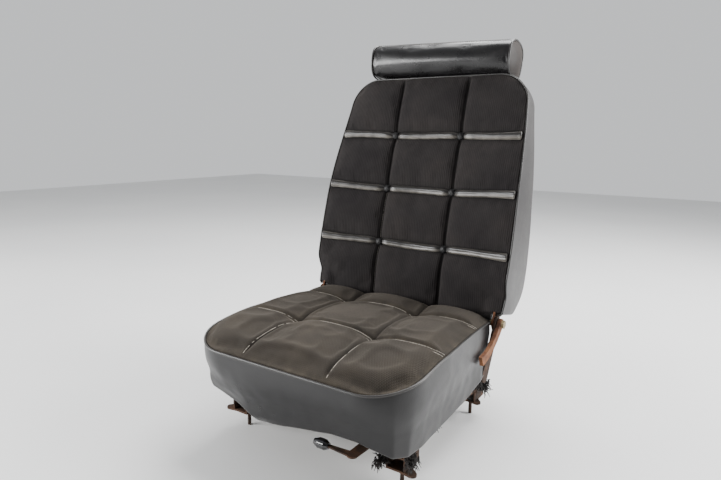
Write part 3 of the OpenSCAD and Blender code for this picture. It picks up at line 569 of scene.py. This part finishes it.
def edgeDistance(x, along, halfAt, endLine, radius, startLine):
    centre = endLine - radius
    half = halfAt(min(along, centre))
    flat = halfAt(centre) - radius
    if along > centre and abs(x) > flat:
        side = radius - math.hypot(along - centre, abs(x) - flat)
        return max(0.0, min(side, along - startLine))
    return max(0.0, min(half - abs(x), endLine - along, along - startLine))


def cellPart(value, stops):
    for a, b in zip(stops, stops[1:]):
        if value <= b + 1e-9:
            return (value - a) / (b - a) * 2 - 1
    return 1.0


def cushionSurface(p, along):
    x, f = cushionSpot(p, along)
    y = -f
    seamX = cushionSeamX(along)
    edge = edgeDistance(x, f, cushionHalf, -cushion["frontY"], cushion["cornerRadius"], -cushion["rearY"])
    rise = 1 - (1 - min(1.0, edge / 0.050)) ** 2.3
    a = cellPart(p, (-2, -1, 1, 2))
    b = cellPart(along, (-cushion["rearY"], *cushion["rowSeams"], cushionEnd))
    height = (cushion["edgeRise"] + cushion["crown"] * max(0.0, 1 - (x / cushion["half"]) ** 2)) * rise
    height += cushion["dome"] * roundPillow(a, b) * min(1.0, edge / 0.02)
    columnGap = abs(abs(x) - seamX)
    rowGap = min(abs(along - s) for s in cushion["rowSeams"])
    fade = smooth(edge, 0.002, 0.030)
    height -= cushion["creaseDepth"] * fade * math.exp(-(columnGap / 0.0045) ** 2)
    lap = 0.0035  # a row seam is a flat lap this wide each way, then a groove
    groove = math.exp(-((rowGap - lap) / 0.0040) ** 2) if rowGap > lap else 0.6 + 0.4 * rowGap / lap
    height -= cushion["creaseDepth"] * fade * groove
    knot = min(math.hypot(abs(x) - seamX, along - s) for s in cushion["rowSeams"])
    height -= cushion["tuftDepth"] * math.exp(-(knot / cushion["tuftReach"]) ** 1.5)
    height += 0.0009 * wander(x, y, 0, 75.0) * rise
    # painted shade along the column and row seam creases, fading out towards the outer edge
    creaseShade = max(math.exp(-(columnGap / 0.0030) ** 2), 0.6 * math.exp(-(rowGap / 0.0045) ** 2)) * fade
    worn = max(math.exp(-(rowGap / 0.008) ** 2), 0.6 * math.exp(-(edge / 0.012) ** 2), 0.5 * math.exp(-(knot / 0.02) ** 2))
    return Vector((x, y, cushionTopZ(y) + height)), {"seam": worn, "creaseShade": creaseShade}


bm = gridSheet(cushion["columns"], cushion["rows"],
               lambda i, j: cushionSurface(alongKnots(i, cushionColumns), alongKnots(j, cushionRows)), ("seam", "creaseShade"))
cushionTop = makeObject("cushionTop", bm, cushionCloth)


def cushionHold(co):
    f = -co.y
    seamX = cushionSeamX(f)
    edge = edgeDistance(co.x, f, cushionHalf, -cushion["frontY"], cushion["cornerRadius"], -cushion["rearY"])
    gap = min([abs(abs(co.x) - seamX)] + [abs(f - s) for s in cushion["rowSeams"]])
    return 1.0 if edge < 0.003 or gap < 0.0045 else 0.0


inflate(cushionTop, cushionHold, pressure=3.0, capMm=7.0, growth=-0.004)
closeBehind(cushionTop, lambda co: Vector((co.x * 0.90, co.y * 0.86, cushion["foamBottom"])), oldFoam)
subdivided(cushionTop)
finish(cushionTop, "seat_base", "seat_fabric", "seat_cloth", "seat_foam")

steps = 60
cushionSpan = cushionEnd + cushion["rearY"]
cushionOutline = [cushionSpot(2, -cushion["rearY"] + cushionSpan * k / steps) for k in range(steps)]
cushionOutline += [cushionSpot(2 - 4 * k / steps, cushionEnd) for k in range(steps)]
cushionOutline += [cushionSpot(-2, cushionEnd - cushionSpan * k / steps) for k in range(steps)]
cushionOutline += [cushionSpot(-2 + 8 * k / steps, -cushion["rearY"]) for k in range(steps // 2)]
cushionPath = evenly(cushionOutline, cushion["rimSteps"])  # x and distance forward


def cushionRim(k, outward=0.0, drop=0.0):
    k %= cushion["rimSteps"]
    spot = cushionPath[k] + outwardOf(cushionPath, k) * outward
    return Vector((spot.x, -spot.y, cushionTopZ(-cushionPath[k].y) - drop))


skirt = {"thickness": 0.0018, "rows": 30, "hem": [  # where the piping is -> where the hem hangs
    ((0.0, 0.174), (0.0, 0.170, 0.174)), ((0.215, 0.174), (0.226, 0.168, 0.160)),
    ((0.2325, 0.13), (0.2455, 0.130, 0.100)), ((0.2376, 0.08), (0.2470, 0.085, 0.082)),
    ((0.2415, 0.03), (0.2425, 0.030, 0.068)), ((0.250, -0.10), (0.2390, -0.100, 0.057)),
    ((0.250, -0.18), (0.2400, -0.180, 0.054)), ((0.2460, -0.222), (0.2375, -0.221, 0.056)),
    ((0.2236, -0.2566), (0.2225, -0.2530, 0.063)), ((0.160, -0.283), (0.157, -0.264, 0.078)),
    ((0.10, -0.283), (0.10, -0.262, 0.075)), ((0.02, -0.283), (0.022, -0.258, 0.060)),
    ((-0.06, -0.283), (-0.048, -0.252, 0.043)), ((-0.13, -0.283), (-0.100, -0.247, 0.032)),
    ((-0.175, -0.283), (-0.145, -0.246, 0.050)), ((-0.2236, -0.2566), (-0.215, -0.248, 0.070)),
    ((-0.250, -0.193), (-0.2375, -0.185, 0.068)), ((-0.250, -0.12), (-0.2365, -0.110, 0.066)),
    ((-0.2415, 0.03), (-0.2365, 0.030, 0.086)), ((-0.2376, 0.08), (-0.2345, 0.080, 0.111)),
    ((-0.2325, 0.13), (-0.2310, 0.130, 0.144)), ((-0.215, 0.174), (-0.212, 0.169, 0.174))]}


def nearestOnPath(x, y):
    return min(range(cushion["rimSteps"]), key=lambda k: (cushionPath[k].x - x) ** 2 + (cushionPath[k].y + y) ** 2)


hemKnots = sorted((nearestOnPath(*spot), Vector(hem)) for spot, hem in skirt["hem"])
(firstStep, firstHem), (lastStep, lastHem) = hemKnots[0], hemKnots[-1]
hemKnots = [(lastStep - cushion["rimSteps"], lastHem)] + hemKnots + [(firstStep + cushion["rimSteps"], firstHem)]


def hemAt(k):
    for n in range(len(hemKnots) - 1):
        (a, first), (b, second) = hemKnots[n], hemKnots[n + 1]
        if a <= k <= b and b > a:
            f = (k - a) / (b - a)
            f = 0.5 * f + 0.5 * f * f * (3 - 2 * f)
            return first.lerp(second, f)
    return hemKnots[-1][1]


def skirtSpot(k, j):
    v = j / skirt["rows"]
    k %= cushion["rimSteps"]
    top, low, side = cushionRim(k, 0.0012), hemAt(k), outwardOf(cushionPath, k)
    inward = v ** 1.25
    spot = Vector((top.x + (low.x - top.x) * inward, top.y + (low.y - top.y) * inward, top.z + (low.z - top.z) * v))
    tall = top.z - low.z
    swell = 0.0035 * math.sin(math.pi * min(1.0, v * 1.6)) * smooth(tall, 0.02, 0.08)
    leftFront = smooth(-spot.x, 0.02, 0.12) * smooth(-spot.y, 0.19, 0.24)
    fold = 0.0025 * leftFront * math.sin(9.0 * (v * 1.15 + spot.x * 3.2)) * smooth(v, 0.35, 0.75)
    ripple = 0.0016 * wander(spot.x, spot.y, spot.z * 0.6, 75.0, 3.1)
    ripple += 0.0007 * wander(spot.x, spot.y, spot.z, 24.0, 7.7) * smooth(v, 0.1, 0.4)
    tuck = 0.010 * leftFront * smooth(v, 0.90, 1.0)
    out = swell + fold + ripple * smooth(v, 0.0, 0.15) * smooth(tall, 0.02, 0.06) - tuck
    spot += Vector((side.x, -side.y, 0)) * out
    # painted highlight: a pale line along the hem, strongest at the left front, and a paler band just under the piping
    edgeLight = max(0.75 * smooth(v, 0.975, 1.0) * (0.35 + 0.65 * leftFront), 0.55 * (1 - smooth(v, 0.0, 0.03)))
    return spot, {"seam": edgeLight}


bm = gridSheet(cushion["rimSteps"], skirt["rows"], lambda i, j: skirtSpot(i, skirt["rows"] - j), ("seam",))
bmesh.ops.remove_doubles(bm, verts=bm.verts, dist=0.00001)
cushionSkirt = makeObject("cushionSkirt", bm, skirtVinyl)
wall = cushionSkirt.modifiers.new("thickness", "SOLIDIFY")
wall.thickness, wall.offset = skirt["thickness"], -1
subdivided(cushionSkirt)
finish(cushionSkirt, "seat_base", "black_vinyl", "seat_boxing")

rimPoints = [cushionRim(k, 0.0010, -0.0004) for k in range(cushion["rimSteps"])]
bm = tube(rimPoints, 8, lambda k: 0.0023 + 0.0003 * wander(rimPoints[k].x, rimPoints[k].y, 0, 30.0),
          lambda k: Vector((outwardOf(cushionPath, k).x, -outwardOf(cushionPath, k).y, 0)))
finish(makeObject("cushionPiping", bm, pipingVinyl), "seat_base", "black_vinyl")
print("cushion ready")

# the backrest is drawn upright and then leaned back about the hinges

back = {"bottom": -0.014, "top": 0.572, "half": 0.260, "wideAt": 0.150, "fall": 0.028, "lowFall": 0.009, "cornerRadius": 0.075,
        "bolster": 0.030, "depth": 0.133, "depthTop": 0.050, "depthLow": 0.044, "thickAt": 0.080, "seamX": 0.0905,
        "strips": (0.141, 0.280, 0.420), "stripGap": 0.009, "dome": 0.0125, "centre": 0.005, "creaseDepth": 0.0055,
        "notchX": 0.2290, "notchTop": 0.0106, "earDepth": 0.011, "foamBack": 0.020, "wall": 0.0016,
        "columns": 106, "rows": 129, "rimSteps": 320, "boxingRows": 26}
leaned = Matrix.Translation((0, 0.175, 0.187)) @ Matrix.Rotation(-leanRad, 4, "X") @ Matrix.Translation((0, 0.0074, 0.0085))
backColumns = [(0, -2), (34, -1), (72, 1), (106, 2)]
backEnd = back["top"] - back["cornerRadius"] * (1 - math.sqrt(0.5))
stripTop = back["strips"][-1] + back["stripGap"]
backRows = [(0, back["bottom"] + 0.002), (32, 0.132), (36, 0.150), (63, 0.271), (67, 0.289), (94, 0.411), (98, stripTop),
            (back["rows"], backEnd)]
backCells = [(backRows[n][1], backRows[n + 1][1]) for n in (0, 2, 4, 6)]  # the pillows between the strips


def backHalf(s):
    high = s > back["wideAt"]
    reach = (back["top"] if high else back["bottom"]) - back["wideAt"]
    half = back["half"] - (back["fall"] if high else back["lowFall"]) * ((s - back["wideAt"]) / reach) ** 2
    return half if s > back["notchTop"] else min(half, back["notchX"])


def backBolster(s):  # the sides stand forward most between 95 and 230 mm up
    mm = s * 1000
    if mm < 95:
        return back["bolster"] * (1 - math.cos(math.pi * max(0.0, mm - 25) / 70)) / 2
    return back["bolster"] * (1 + math.cos(math.pi * min(1.0, max(0.0, mm - 230) / 342))) / 2


def backRear(s):
    if s > back["thickAt"]:
        rise = (s - back["thickAt"]) / (back["top"] - back["thickAt"])
        return back["depth"] - (back["depth"] - back["depthTop"]) * rise ** 1.3
    dip = min(1.0, (back["thickAt"] - s) / (back["thickAt"] - back["bottom"]))
    return back["depth"] - (back["depth"] - back["depthLow"]) * dip ** 1.8  # rounds under towards the hinges


def backEar(x, s):  # the cover bulges round each hinge arm
    return back["earDepth"] * smooth(abs(x), 0.205, 0.234) * (1 - smooth(s, 0.020, 0.110))


def backForward(x, s):  # how far the cover's plane stands forward of the button plane
    t = min(1.0, abs(x) / max(0.1, backHalf(max(s, 0.02))))
    return max(backBolster(s) * t ** 1.4, backEar(x, s))


def backSpot(p, along):
    return roundedPanel(p, along, backHalf, back["seamX"], back["top"], back["cornerRadius"], stripTop)


def backSurface(p, along):
    x, s = backSpot(p, along)
    edge = edgeDistance(x, s, backHalf, back["top"], back["cornerRadius"], back["bottom"])
    out = backForward(x, s) + back["centre"] * max(0.0, 1 - (x / 0.25) ** 2) * min(1.0, edge / 0.06)
    a = cellPart(p, (-2, -1, 1, 2))
    b = None
    for low, high in backCells:
        if low <= along <= high:
            b = (along - low) / (high - low) * 2 - 1
    if b is not None:
        out += back["dome"] * (0.8 if abs(x) > back["seamX"] else 1.0) * pillow(a, b)
    columnGap = abs(abs(x) - back["seamX"])
    stripGap = min(abs(along - s0) for s0 in back["strips"])
    out -= back["creaseDepth"] * math.exp(-(columnGap / 0.0042) ** 2) * smooth(edge, 0.0, 0.02)
    button = min(math.hypot(abs(x) - back["seamX"], along - s0) for s0 in back["strips"])
    out -= 0.006 * math.exp(-(button / 0.020) ** 2)
    out += 0.0013 * wander(x, 0, s, 70.0, 1.3) * min(1.0, edge / 0.03)
    besideStrip = max(0.0, stripGap - back["stripGap"])
    # painted shade along the column seams and beside the strips, none at the outer edge
    creaseShade = max(math.exp(-(columnGap / 0.0032) ** 2), 0.8 * math.exp(-(besideStrip / 0.004) ** 2))
    worn = max(0.5 * math.exp(-(columnGap / 0.008) ** 2), 0.7 * math.exp(-(edge / 0.006) ** 2))
    return Vector((x, -out, s)), {"seam": worn, "creaseShade": creaseShade * (0.0 if edge < 0.004 else 1.0)}


bm = gridSheet(back["columns"], back["rows"],
               lambda i, j: backSurface(alongKnots(i, backColumns), alongKnots(j, backRows)), ("seam", "creaseShade"))
backPanel = makeObject("backPanel", bm, backCloth)


def backHold(co):
    edge = edgeDistance(co.x, co.z, backHalf, back["top"], back["cornerRadius"], back["bottom"])
    gap = min([abs(abs(co.x) - back["seamX"]) - 0.0045] + [abs(co.z - s0) - 0.012 for s0 in back["strips"]])
    return 1.0 if edge < 0.004 or gap < 0 or co.z < 0.0 else 0.0


inflate(backPanel, backHold, pressure=2.5, capMm=6.0, growth=0.006)
closeBehind(backPanel, lambda co: Vector((co.x * 0.985, back["foamBack"], co.z * 0.985 + 0.001)), oldFoam)
backPanel.data.transform(leaned)
subdivided(backPanel)
finish(backPanel, "backrest", "back_fabric", "backrest_cloth", "backrest_foam")

notchLine = back["notchTop"] + 0.0001  # just above the notch that clears each hinge arm
backOutline = [(back["notchX"] * k / 24, back["bottom"]) for k in range(24)]
backOutline += [(back["notchX"], back["bottom"] + (back["notchTop"] - back["bottom"]) * k / 8) for k in range(8)]
backOutline += [(back["notchX"] + (backHalf(notchLine) - back["notchX"]) * k / 8, notchLine) for k in range(8)]
backOutline += [backSpot(2, notchLine + (backEnd - notchLine) * k / 80) for k in range(80)]
backOutline += [backSpot(2 - 2 * k / 30, backEnd) for k in range(31)]
backOutline += [(-x, s) for x, s in reversed(backOutline[1:-1])]
backPath = evenly(backOutline, back["rimSteps"])


def backRim(k, outward=0.0, forward=0.0):
    spot = backPath[k] + outwardOf(backPath, k) * outward
    return Vector((spot.x, -backForward(backPath[k].x, backPath[k].y) - forward, spot.y))


def boxingSpot(k, j):
    v = j / back["boxingRows"]
    k %= back["rimSteps"]
    spot, side = backPath[k], outwardOf(backPath, k)
    front, rear = -backForward(spot.x, spot.y), backRear(spot.y)
    y = front + (rear - front) * v
    bulge = 0.0022 * math.sin(math.pi * min(1.0, v * 1.1)) - 0.010 * smooth(v, 0.86, 1.0) ** 2
    bulge += 0.0010 * wander(spot.x, y, spot.y, 80.0, 5.0) * smooth(v, 0.0, 0.1)
    if spot.y < 0.012 and abs(spot.x) > 0.2:
        bulge = min(bulge, 0.0)
    out = spot + side * bulge
    # painted highlight: pale lines along the front edge and just short of the rear edge
    light = max(0.6 * (1 - smooth(v, 0.0, 0.03)), 0.5 * smooth(v, 0.93, 0.97) * (1 - smooth(v, 0.97, 1.0)))
    return Vector((out.x, y, out.y)), {"seam": light}


bm = gridSheet(back["rimSteps"], back["boxingRows"], boxingSpot, ("seam",))
bmesh.ops.remove_doubles(bm, verts=bm.verts, dist=0.00001)
backBoxing = makeObject("backBoxing", bm, backVinyl)
backBoxing.data.transform(leaned)
wall = backBoxing.modifiers.new("thickness", "SOLIDIFY")
wall.thickness, wall.offset = back["wall"], -1
subdivided(backBoxing)
finish(backBoxing, "backrest", "black_vinyl", "backrest_boxing")


rear = {"share": (0.966, 0.968), "middle": 0.28, "columns": 70, "rows": 80}  # the rear panel is a little smaller than the cover


def rearSurface(p, along):
    x, s = backSpot(p, along)
    x, s = x * rear["share"][0], rear["middle"] + (s - rear["middle"]) * rear["share"][1]
    edge = edgeDistance(x, s, backHalf, back["top"], back["cornerRadius"], back["bottom"])
    crown = 0.006 * smooth(edge, 0.0, 0.07) + 0.0012 * wander(x, 0, s, 90.0, 9.0)
    return Vector((x, backRear(s) + crown - 0.002, s)), {"seam": 0.5 * math.exp(-(edge / 0.012) ** 2)}


rearStart = back["bottom"] + 0.003
bm = gridSheet(rear["columns"], rear["rows"], lambda i, j: rearSurface(
    i / rear["columns"] * 4 - 2, rearStart + (backEnd - rearStart) * j / rear["rows"]), ("seam",))
backRearPanel = makeObject("backRearPanel", bm, skirtVinyl)
backRearPanel.data.transform(leaned)
wall = backRearPanel.modifiers.new("thickness", "SOLIDIFY")
wall.thickness = back["wall"]
subdivided(backRearPanel)
finish(backRearPanel, "backrest", "black_vinyl", "backrest_back")

frontLine = [backRim(k, 0.0008, 0.0006) for k in range(back["rimSteps"])]
rearLine = [boxingSpot(k, back["boxingRows"])[0] for k in range(back["rimSteps"])]
for name, line, radius, finishOf in (("backPiping", frontLine, 0.0020, pipingVinyl),
                                     ("backRearPiping", rearLine, 0.0026, darkPipingVinyl)):
    bm = tube(line, 8, radius, lambda k: Vector((outwardOf(backPath, k).x, 0, outwardOf(backPath, k).y)))
    piece = makeObject(name, bm, finishOf)
    piece.data.transform(leaned)
    finish(piece, "backrest", "black_vinyl")
print("backrest ready")

# shiny vinyl strips across the backrest, pinched at the covered buttons

strip = {"inset": 0.005, "half": 0.0088, "columns": 170, "around": 20, "stand": 0.0050, "rise": 0.0052}


def stripSpot(i, j, level):
    half = backHalf(level) - strip["inset"]
    x = -half + 2 * half * i / strip["columns"]
    turn = 2 * math.pi * j / strip["around"]
    across, out = -math.cos(turn), math.sin(turn)
    pinch = math.exp(-((abs(x) - back["seamX"]) / 0.013) ** 2)
    ends = smooth(abs(x), half - 0.060, half - 0.004)
    wide = strip["half"] * (1 - 0.42 * pinch) * (1 + 0.12 * ends)
    lower = across < -0.25
    middle, reach = (-0.62, 0.38) if lower else (0.37, 0.63)  # a thin roll below, a wide band above
    lobe = 1 - 0.45 * ((across - middle) / reach) ** 2
    height = strip["rise"] * max(0.10, lobe) * (1 - 0.55 * pinch)
    wave = math.sin(across * 10.5 + 0.6 * math.sin(x * 90))  # small pleats where an end is gathered
    pleat = 0.0015 * ends * wave
    crumple = 0.0006 * wander(x * 0.35, level, across * 0.01, 9.0, 2.2)
    forward = backForward(x, level) + strip["stand"] - 0.0050 * pinch + out * (height if out > 0 else 0.004)
    forward += pleat + crumple if out > 0.2 else 0
    # painted highlights: the lower roll, a thin line at the top edge and the crests of the end pleats, fading out at
    # the pinches by the buttons
    topLine = math.exp(-((across - 0.86) / 0.10) ** 2)
    light = 0.95 if lower and out > 0 else 0.05 + 0.6 * topLine
    light *= (0.6 + 0.4 * wander(x, level, 0, 14.0, 8.0)) * (1 - pinch)
    light += 0.30 * ends * max(0.0, wave) ** 2
    spot = Vector((x, -forward, level + across * wide + 0.0012 * math.sin(x * 26 + level * 30)))
    return spot, {"seam": max(0.0, min(1.0, light))}


stripsMesh = bmesh.new()
stripsMesh.verts.layers.float.new("seam")
for level in back["strips"]:
    bm = gridSheet(strip["columns"], strip["around"], lambda i, j: stripSpot(i, j, level), ("seam",))
    bmesh.ops.remove_doubles(bm, verts=bm.verts, dist=0.00001)
    bmesh.ops.holes_fill(bm, edges=[e for e in bm.edges if e.is_boundary], sides=0)
    gather(stripsMesh, bm)
tuftStrips = makeObject("tuftStrips", stripsMesh, stripVinyl)
tuftStrips.data.transform(leaned)
subdivided(tuftStrips)
finish(tuftStrips, "backrest", "black_vinyl", "tuft_bands")

button = {"radius": 0.0098, "dome": 0.0042, "sides": 20, "stand": 0.0036,
          "front": ((0.0, 1.0), (0.35, 0.93), (0.7, 0.68), (0.92, 0.33), (1.0, 0.0)),  # shares of radius and dome
          "rear": ((0.93, 0.0022), (0.6, 0.0036), (0.0, 0.0040))}
buttonsMesh = bmesh.new()
for level in back["strips"]:
    for side in (-1, 1):
        bm = bmesh.new()
        profile = [(r, -high * button["dome"]) for r, high in button["front"]] + list(button["rear"])
        verts = [bm.verts.new((r * button["radius"], y, 0)) for r, y in profile]
        edges = [bm.edges.new(pair) for pair in zip(verts, verts[1:])]
        bmesh.ops.spin(bm, geom=verts + edges, cent=(0, 0, 0), axis=(0, 1, 0), angle=2 * math.pi,
                       steps=button["sides"], use_merge=True)
        bmesh.ops.remove_doubles(bm, verts=bm.verts, dist=0.00002)
        for vert in bm.verts:
            vert.co.y -= 0.0006 * math.sin(vert.co.x * 700 + side) * math.sin(vert.co.z * 560) * (1 if vert.co.y < 0 else 0)
        forward = backForward(back["seamX"], level) + button["stand"]
        bmesh.ops.translate(bm, verts=bm.verts, vec=(side * back["seamX"], -forward, level))
        gather(buttonsMesh, bm)
coveredButtons = makeObject("coveredButtons", buttonsMesh, buttonVinyl)
coveredButtons.data.transform(leaned)
subdivided(coveredButtons)
finish(coveredButtons, "backrest", "black_vinyl", "tuft_buttons")
print("strips and buttons ready")

# the headrest: a rolled pad between two flat ends

head = {"low": 0.5765, "high": 0.666, "frontY": -0.025, "rearY": 0.072, "pipeX": 0.188, "power": 3.1, "skewDeg": 2.0,
        "columns": 90, "around": 72,
        "ends": ((0.05, 0.0028), (0.45, 0.0045), (0.55, 0.0015))}  # each end's rings: share inward, bulge
headMid = ((head["frontY"] + head["rearY"]) / 2, (head["low"] + head["high"]) / 2)


def headSection(turn, shrink=0.0):  # turn 0 points forward, a quarter turn points up
    a, b = (head["rearY"] - head["frontY"]) / 2 - shrink, (head["high"] - head["low"]) / 2 - shrink
    c, s = math.cos(turn), math.sin(turn)
    y = -a * math.copysign(abs(c) ** (2 / head["power"]), c)
    z = b * math.copysign(abs(s) ** (2 / head["power"]), s)
    z -= 0.006 * smooth(-y, 0.0, a) * smooth(z, 0, b)  # the top slopes down a little to the front
    y += 0.007 * smooth(-z, -0.02, b) * smooth(-y, 0.0, a)  # and the lower front rolls under
    return headMid[0] + y, headMid[1] + z


def headSpot(i, j):
    u = 2 * i / head["columns"] - 1
    turn = 2 * math.pi * j / head["around"]
    x = head["pipeX"] * (1.25 * u - 0.25 * u ** 3)
    y, z = headSection(turn, 0.002)
    side = Vector((y - headMid[0], z - headMid[1])).normalized()
    puff = 0.0022 * (1 - abs(u) ** 3) + 0.0014 * wander(x * 0.6, y, z, 45.0, 4.0)
    pucker = 0.0011 * math.sin(turn * 9 + 2 * math.sin(turn * 2))
    pucker *= smooth(abs(u), 0.80, 0.98) * smooth(-math.cos(turn), -1.0, 0.3)
    topSeam = math.exp(-((turn - 0.98) / 0.05) ** 2)
    out = puff + pucker - 0.0012 * topSeam
    # painted highlights: a line along the top seam, the pad's ends beside the piping, and the top face
    light = max(0.5 * topSeam, 0.7 * smooth(abs(u), 0.965, 1.0), 0.55 * smooth(math.sin(turn), 0.80, 0.99))
    return Vector((x, y + side.x * out, z + side.y * out)), {"seam": light}


bm = gridSheet(head["columns"], head["around"], headSpot, ("seam",))
bmesh.ops.remove_doubles(bm, verts=bm.verts, dist=0.00001)
ends = [e for e in bm.edges if e.is_boundary]
seamLayer = bm.verts.layers.float["seam"]
for shrink, bulge in head["ends"]:
    out = bmesh.ops.extrude_edge_only(bm, edges=ends)["geom"]
    for vert in [g for g in out if isinstance(g, bmesh.types.BMVert)]:
        vert.co.y += (headMid[0] - vert.co.y) * shrink
        vert.co.z += (headMid[1] - vert.co.z) * shrink
        vert.co.x += math.copysign(bulge, vert.co.x)
        vert[seamLayer] = 0.20
    ends = [g for g in out if isinstance(g, bmesh.types.BMEdge) and g.is_boundary]
for side in (-1, 1):
    rim = [e for e in ends if e.verts[0].co.x * side > 0]
    for face in bmesh.ops.contextual_create(bm, geom=rim)["faces"]:
        bmesh.ops.poke(bm, faces=[face])
headrestPad = makeObject("headrestPad", bm, headVinyl)
headrestPad.data.materials.append(headEndVinyl)  # the end caps are duller than the front
for face in headrestPad.data.polygons:
    face.material_index = 1 if abs(face.center.x) > head["pipeX"] + 0.0004 else 0


def headHold(co):
    return 1.0 if abs(abs(co.x) - head["pipeX"]) < 0.004 else 0.0


inflate(headrestPad, headHold, pressure=2.5, capMm=3.0, growth=0.001)
skew = Matrix.Rotation(math.radians(head["skewDeg"]), 4, "Y")
headPlace = leaned @ Matrix.Translation((0, 0, headMid[1])) @ skew @ Matrix.Translation((0, 0, -headMid[1]))
headrestPad.data.transform(headPlace)
subdivided(headrestPad)
finish(headrestPad, "head_restraint", "black_vinyl", "headrest_cover", "headrest_foam")

pipesMesh = bmesh.new()
for side in (-1, 1):
    line = []
    for k in range(head["around"]):
        y, z = headSection(2 * math.pi * k / head["around"], 0.0005)
        line.append(Vector((side * (head["pipeX"] + 0.001), y, z)))
    bm = tube(line, 8, 0.0023, lambda k: Vector((0, line[k].y - headMid[0], line[k].z - headMid[1])))
    gather(pipesMesh, bm)
headrestPiping = makeObject("headrestPiping", pipesMesh, darkPipingVinyl)
headrestPiping.data.transform(headPlace)
finish(headrestPiping, "head_restraint", "black_vinyl")
print("headrest ready")

# stitching, and carpet yarn caught on the feet and rails

stitch = {"length": 0.0052, "gap": 0.0010, "thick": 0.0013, "rowSpread": 0.0040, "sink": 0.0001, "above": 0.22}


def surfaceTree(piece):
    bpy.context.view_layer.update()
    mesh = piece.evaluated_get(bpy.context.evaluated_depsgraph_get()).to_mesh()
    return BVHTree.FromPolygons([v.co.copy() for v in mesh.vertices], [tuple(p.vertices) for p in mesh.polygons])


def addStitch(bm, first, second, lift, thick):
    run = second - first
    turn = run.to_track_quat("X", "Z").to_matrix().to_4x4()
    spot = Matrix.Translation((first + second) / 2 + lift) @ turn @ Matrix.Diagonal((run.length, thick, thick * 0.7, 1))
    bmesh.ops.create_cube(bm, size=1, matrix=spot)


def stitchLine(bm, tree, line, aim, thick, skip=0.04):
    for first, second in zip(line, line[1:]):
        if random.random() < skip:
            continue
        middle = (first + second) / 2
        dash = (second - first).normalized() * stitch["length"] / 2
        ends = [tree.ray_cast(middle + side * dash - aim * 0.08, aim, 0.2)[0] for side in (-1, 1)]
        if ends[0] is not None and ends[1] is not None:
            addStitch(bm, ends[0], ends[1], -aim * (thick * 0.25 - stitch["sink"]), thick)


random.seed(41)
cushionTree = surfaceTree(cushionTop)
pitch = stitch["length"] + stitch["gap"]
bm = bmesh.new()
for seam in cushion["rowSeams"]:
    half = cushionHalf(seam) - 0.004
    count = int(2 * half / pitch)
    for side in (-1, 1):
        y = -(seam + side * stitch["rowSpread"])
        line = [Vector((-half + 2 * half * k / count, y, stitch["above"])) for k in range(count + 1)]
        stitchLine(bm, cushionTree, line, Vector((0, 0, -1)), stitch["thick"])
count = int((cushionEnd - cushion["rowSeams"][1]) / pitch)
for side in (-1, 1):
    line = []
    for k in range(1, count + 4):
        f = cushion["rowSeams"][1] + pitch * k
        x = side * (cushionSeamX(min(f, cushionEnd)) + 0.0030)
        line.append(Vector((x, -f, stitch["above"])))
    stitchLine(bm, cushionTree, line, Vector((0, 0, -1)), stitch["thick"] * 0.85, 0.12)
finish(makeObject("cushionStitching", bm, lightThread, False), "seat_base", "seat_fabric")

backTree = surfaceTree(backPanel)
aim = (leaned.to_3x3() @ Vector((0, 1, 0))).normalized()
bm = bmesh.new()
for low, high, side in ((0.012, 0.130, -1), (0.152, 0.270, -1)):  # the left seam has lost its dark dye
    count = int((high - low) / pitch)
    x = side * (back["seamX"] + 0.0012)
    line = [leaned @ Vector((x, -0.02, low + (high - low) * k / count)) for k in range(count + 1)]
    stitchLine(bm, backTree, line, aim, stitch["thick"] * 0.7, 0.06)
finish(makeObject("backSeamThread", bm, soiledThread, False), "backrest", "back_fabric")

bm = bmesh.new()
for turnAt, count in ((0.86, 60), (1.10, 60)):
    for k in range(count):
        x = 0.96 * head["pipeX"] * (2 * (k + 0.5) / count - 1)
        y, z = headSection(turnAt, -0.0012)
        addStitch(bm, Vector((x - 0.0019, y, z)), Vector((x + 0.0019, y, z)), Vector((0, 0, 0)), 0.0008)
headrestStitching = makeObject("headrestStitching", bm, soiledThread, False)
headrestStitching.data.transform(headPlace)
finish(headrestStitching, "head_restraint", "black_vinyl")

frays = [  # where a tuft of carpet yarn is caught, how many strands, how long
    ((0.170, -0.200, 0.022), 120, 0.016), ((0.226, -0.190, 0.034), 120, 0.017), ((0.219, -0.080, 0.050), 60, 0.011),
    ((0.218, 0.085, 0.050), 50, 0.010), ((0.221, 0.135, 0.052), 80, 0.013), ((0.225, 0.170, 0.036), 110, 0.017)]
random.seed(7)
bm = bmesh.new()
for place, strands, length in frays:
    for n in range(strands):
        start = Vector(place) + Vector((random.gauss(0, 0.0035), random.gauss(0, 0.009), random.gauss(0, 0.005)))
        way = Vector((random.gauss(0.15, 0.6), random.gauss(-0.1, 0.6), random.gauss(-0.75, 0.5))).normalized()
        reach = length * random.uniform(0.5, 1.1)
        bend = Vector((random.gauss(0, 0.3), random.gauss(0, 0.3), random.gauss(-0.3, 0.3)))
        spot = start
        for part in range(3):
            onward = (way + bend * part * 0.6).normalized() * reach / 3
            if (spot + onward).z < 0.001:
                break
            turn = onward.to_track_quat("Z", "Y").to_matrix().to_4x4()
            thick = 0.0016 * (1 - 0.25 * part), 0.0016 * (0.75 - 0.25 * part)
            bmesh.ops.create_cone(bm, cap_ends=True, segments=4, radius1=thick[0], radius2=thick[1],
                                  depth=onward.length * 1.08, matrix=Matrix.Translation(spot + onward / 2) @ turn)
            spot = spot + onward
finish(makeObject("frayedYarn", bm, blackThread), "floor_rails", "rubber_webbing")
print("stitching ready")

low, high = cadBox
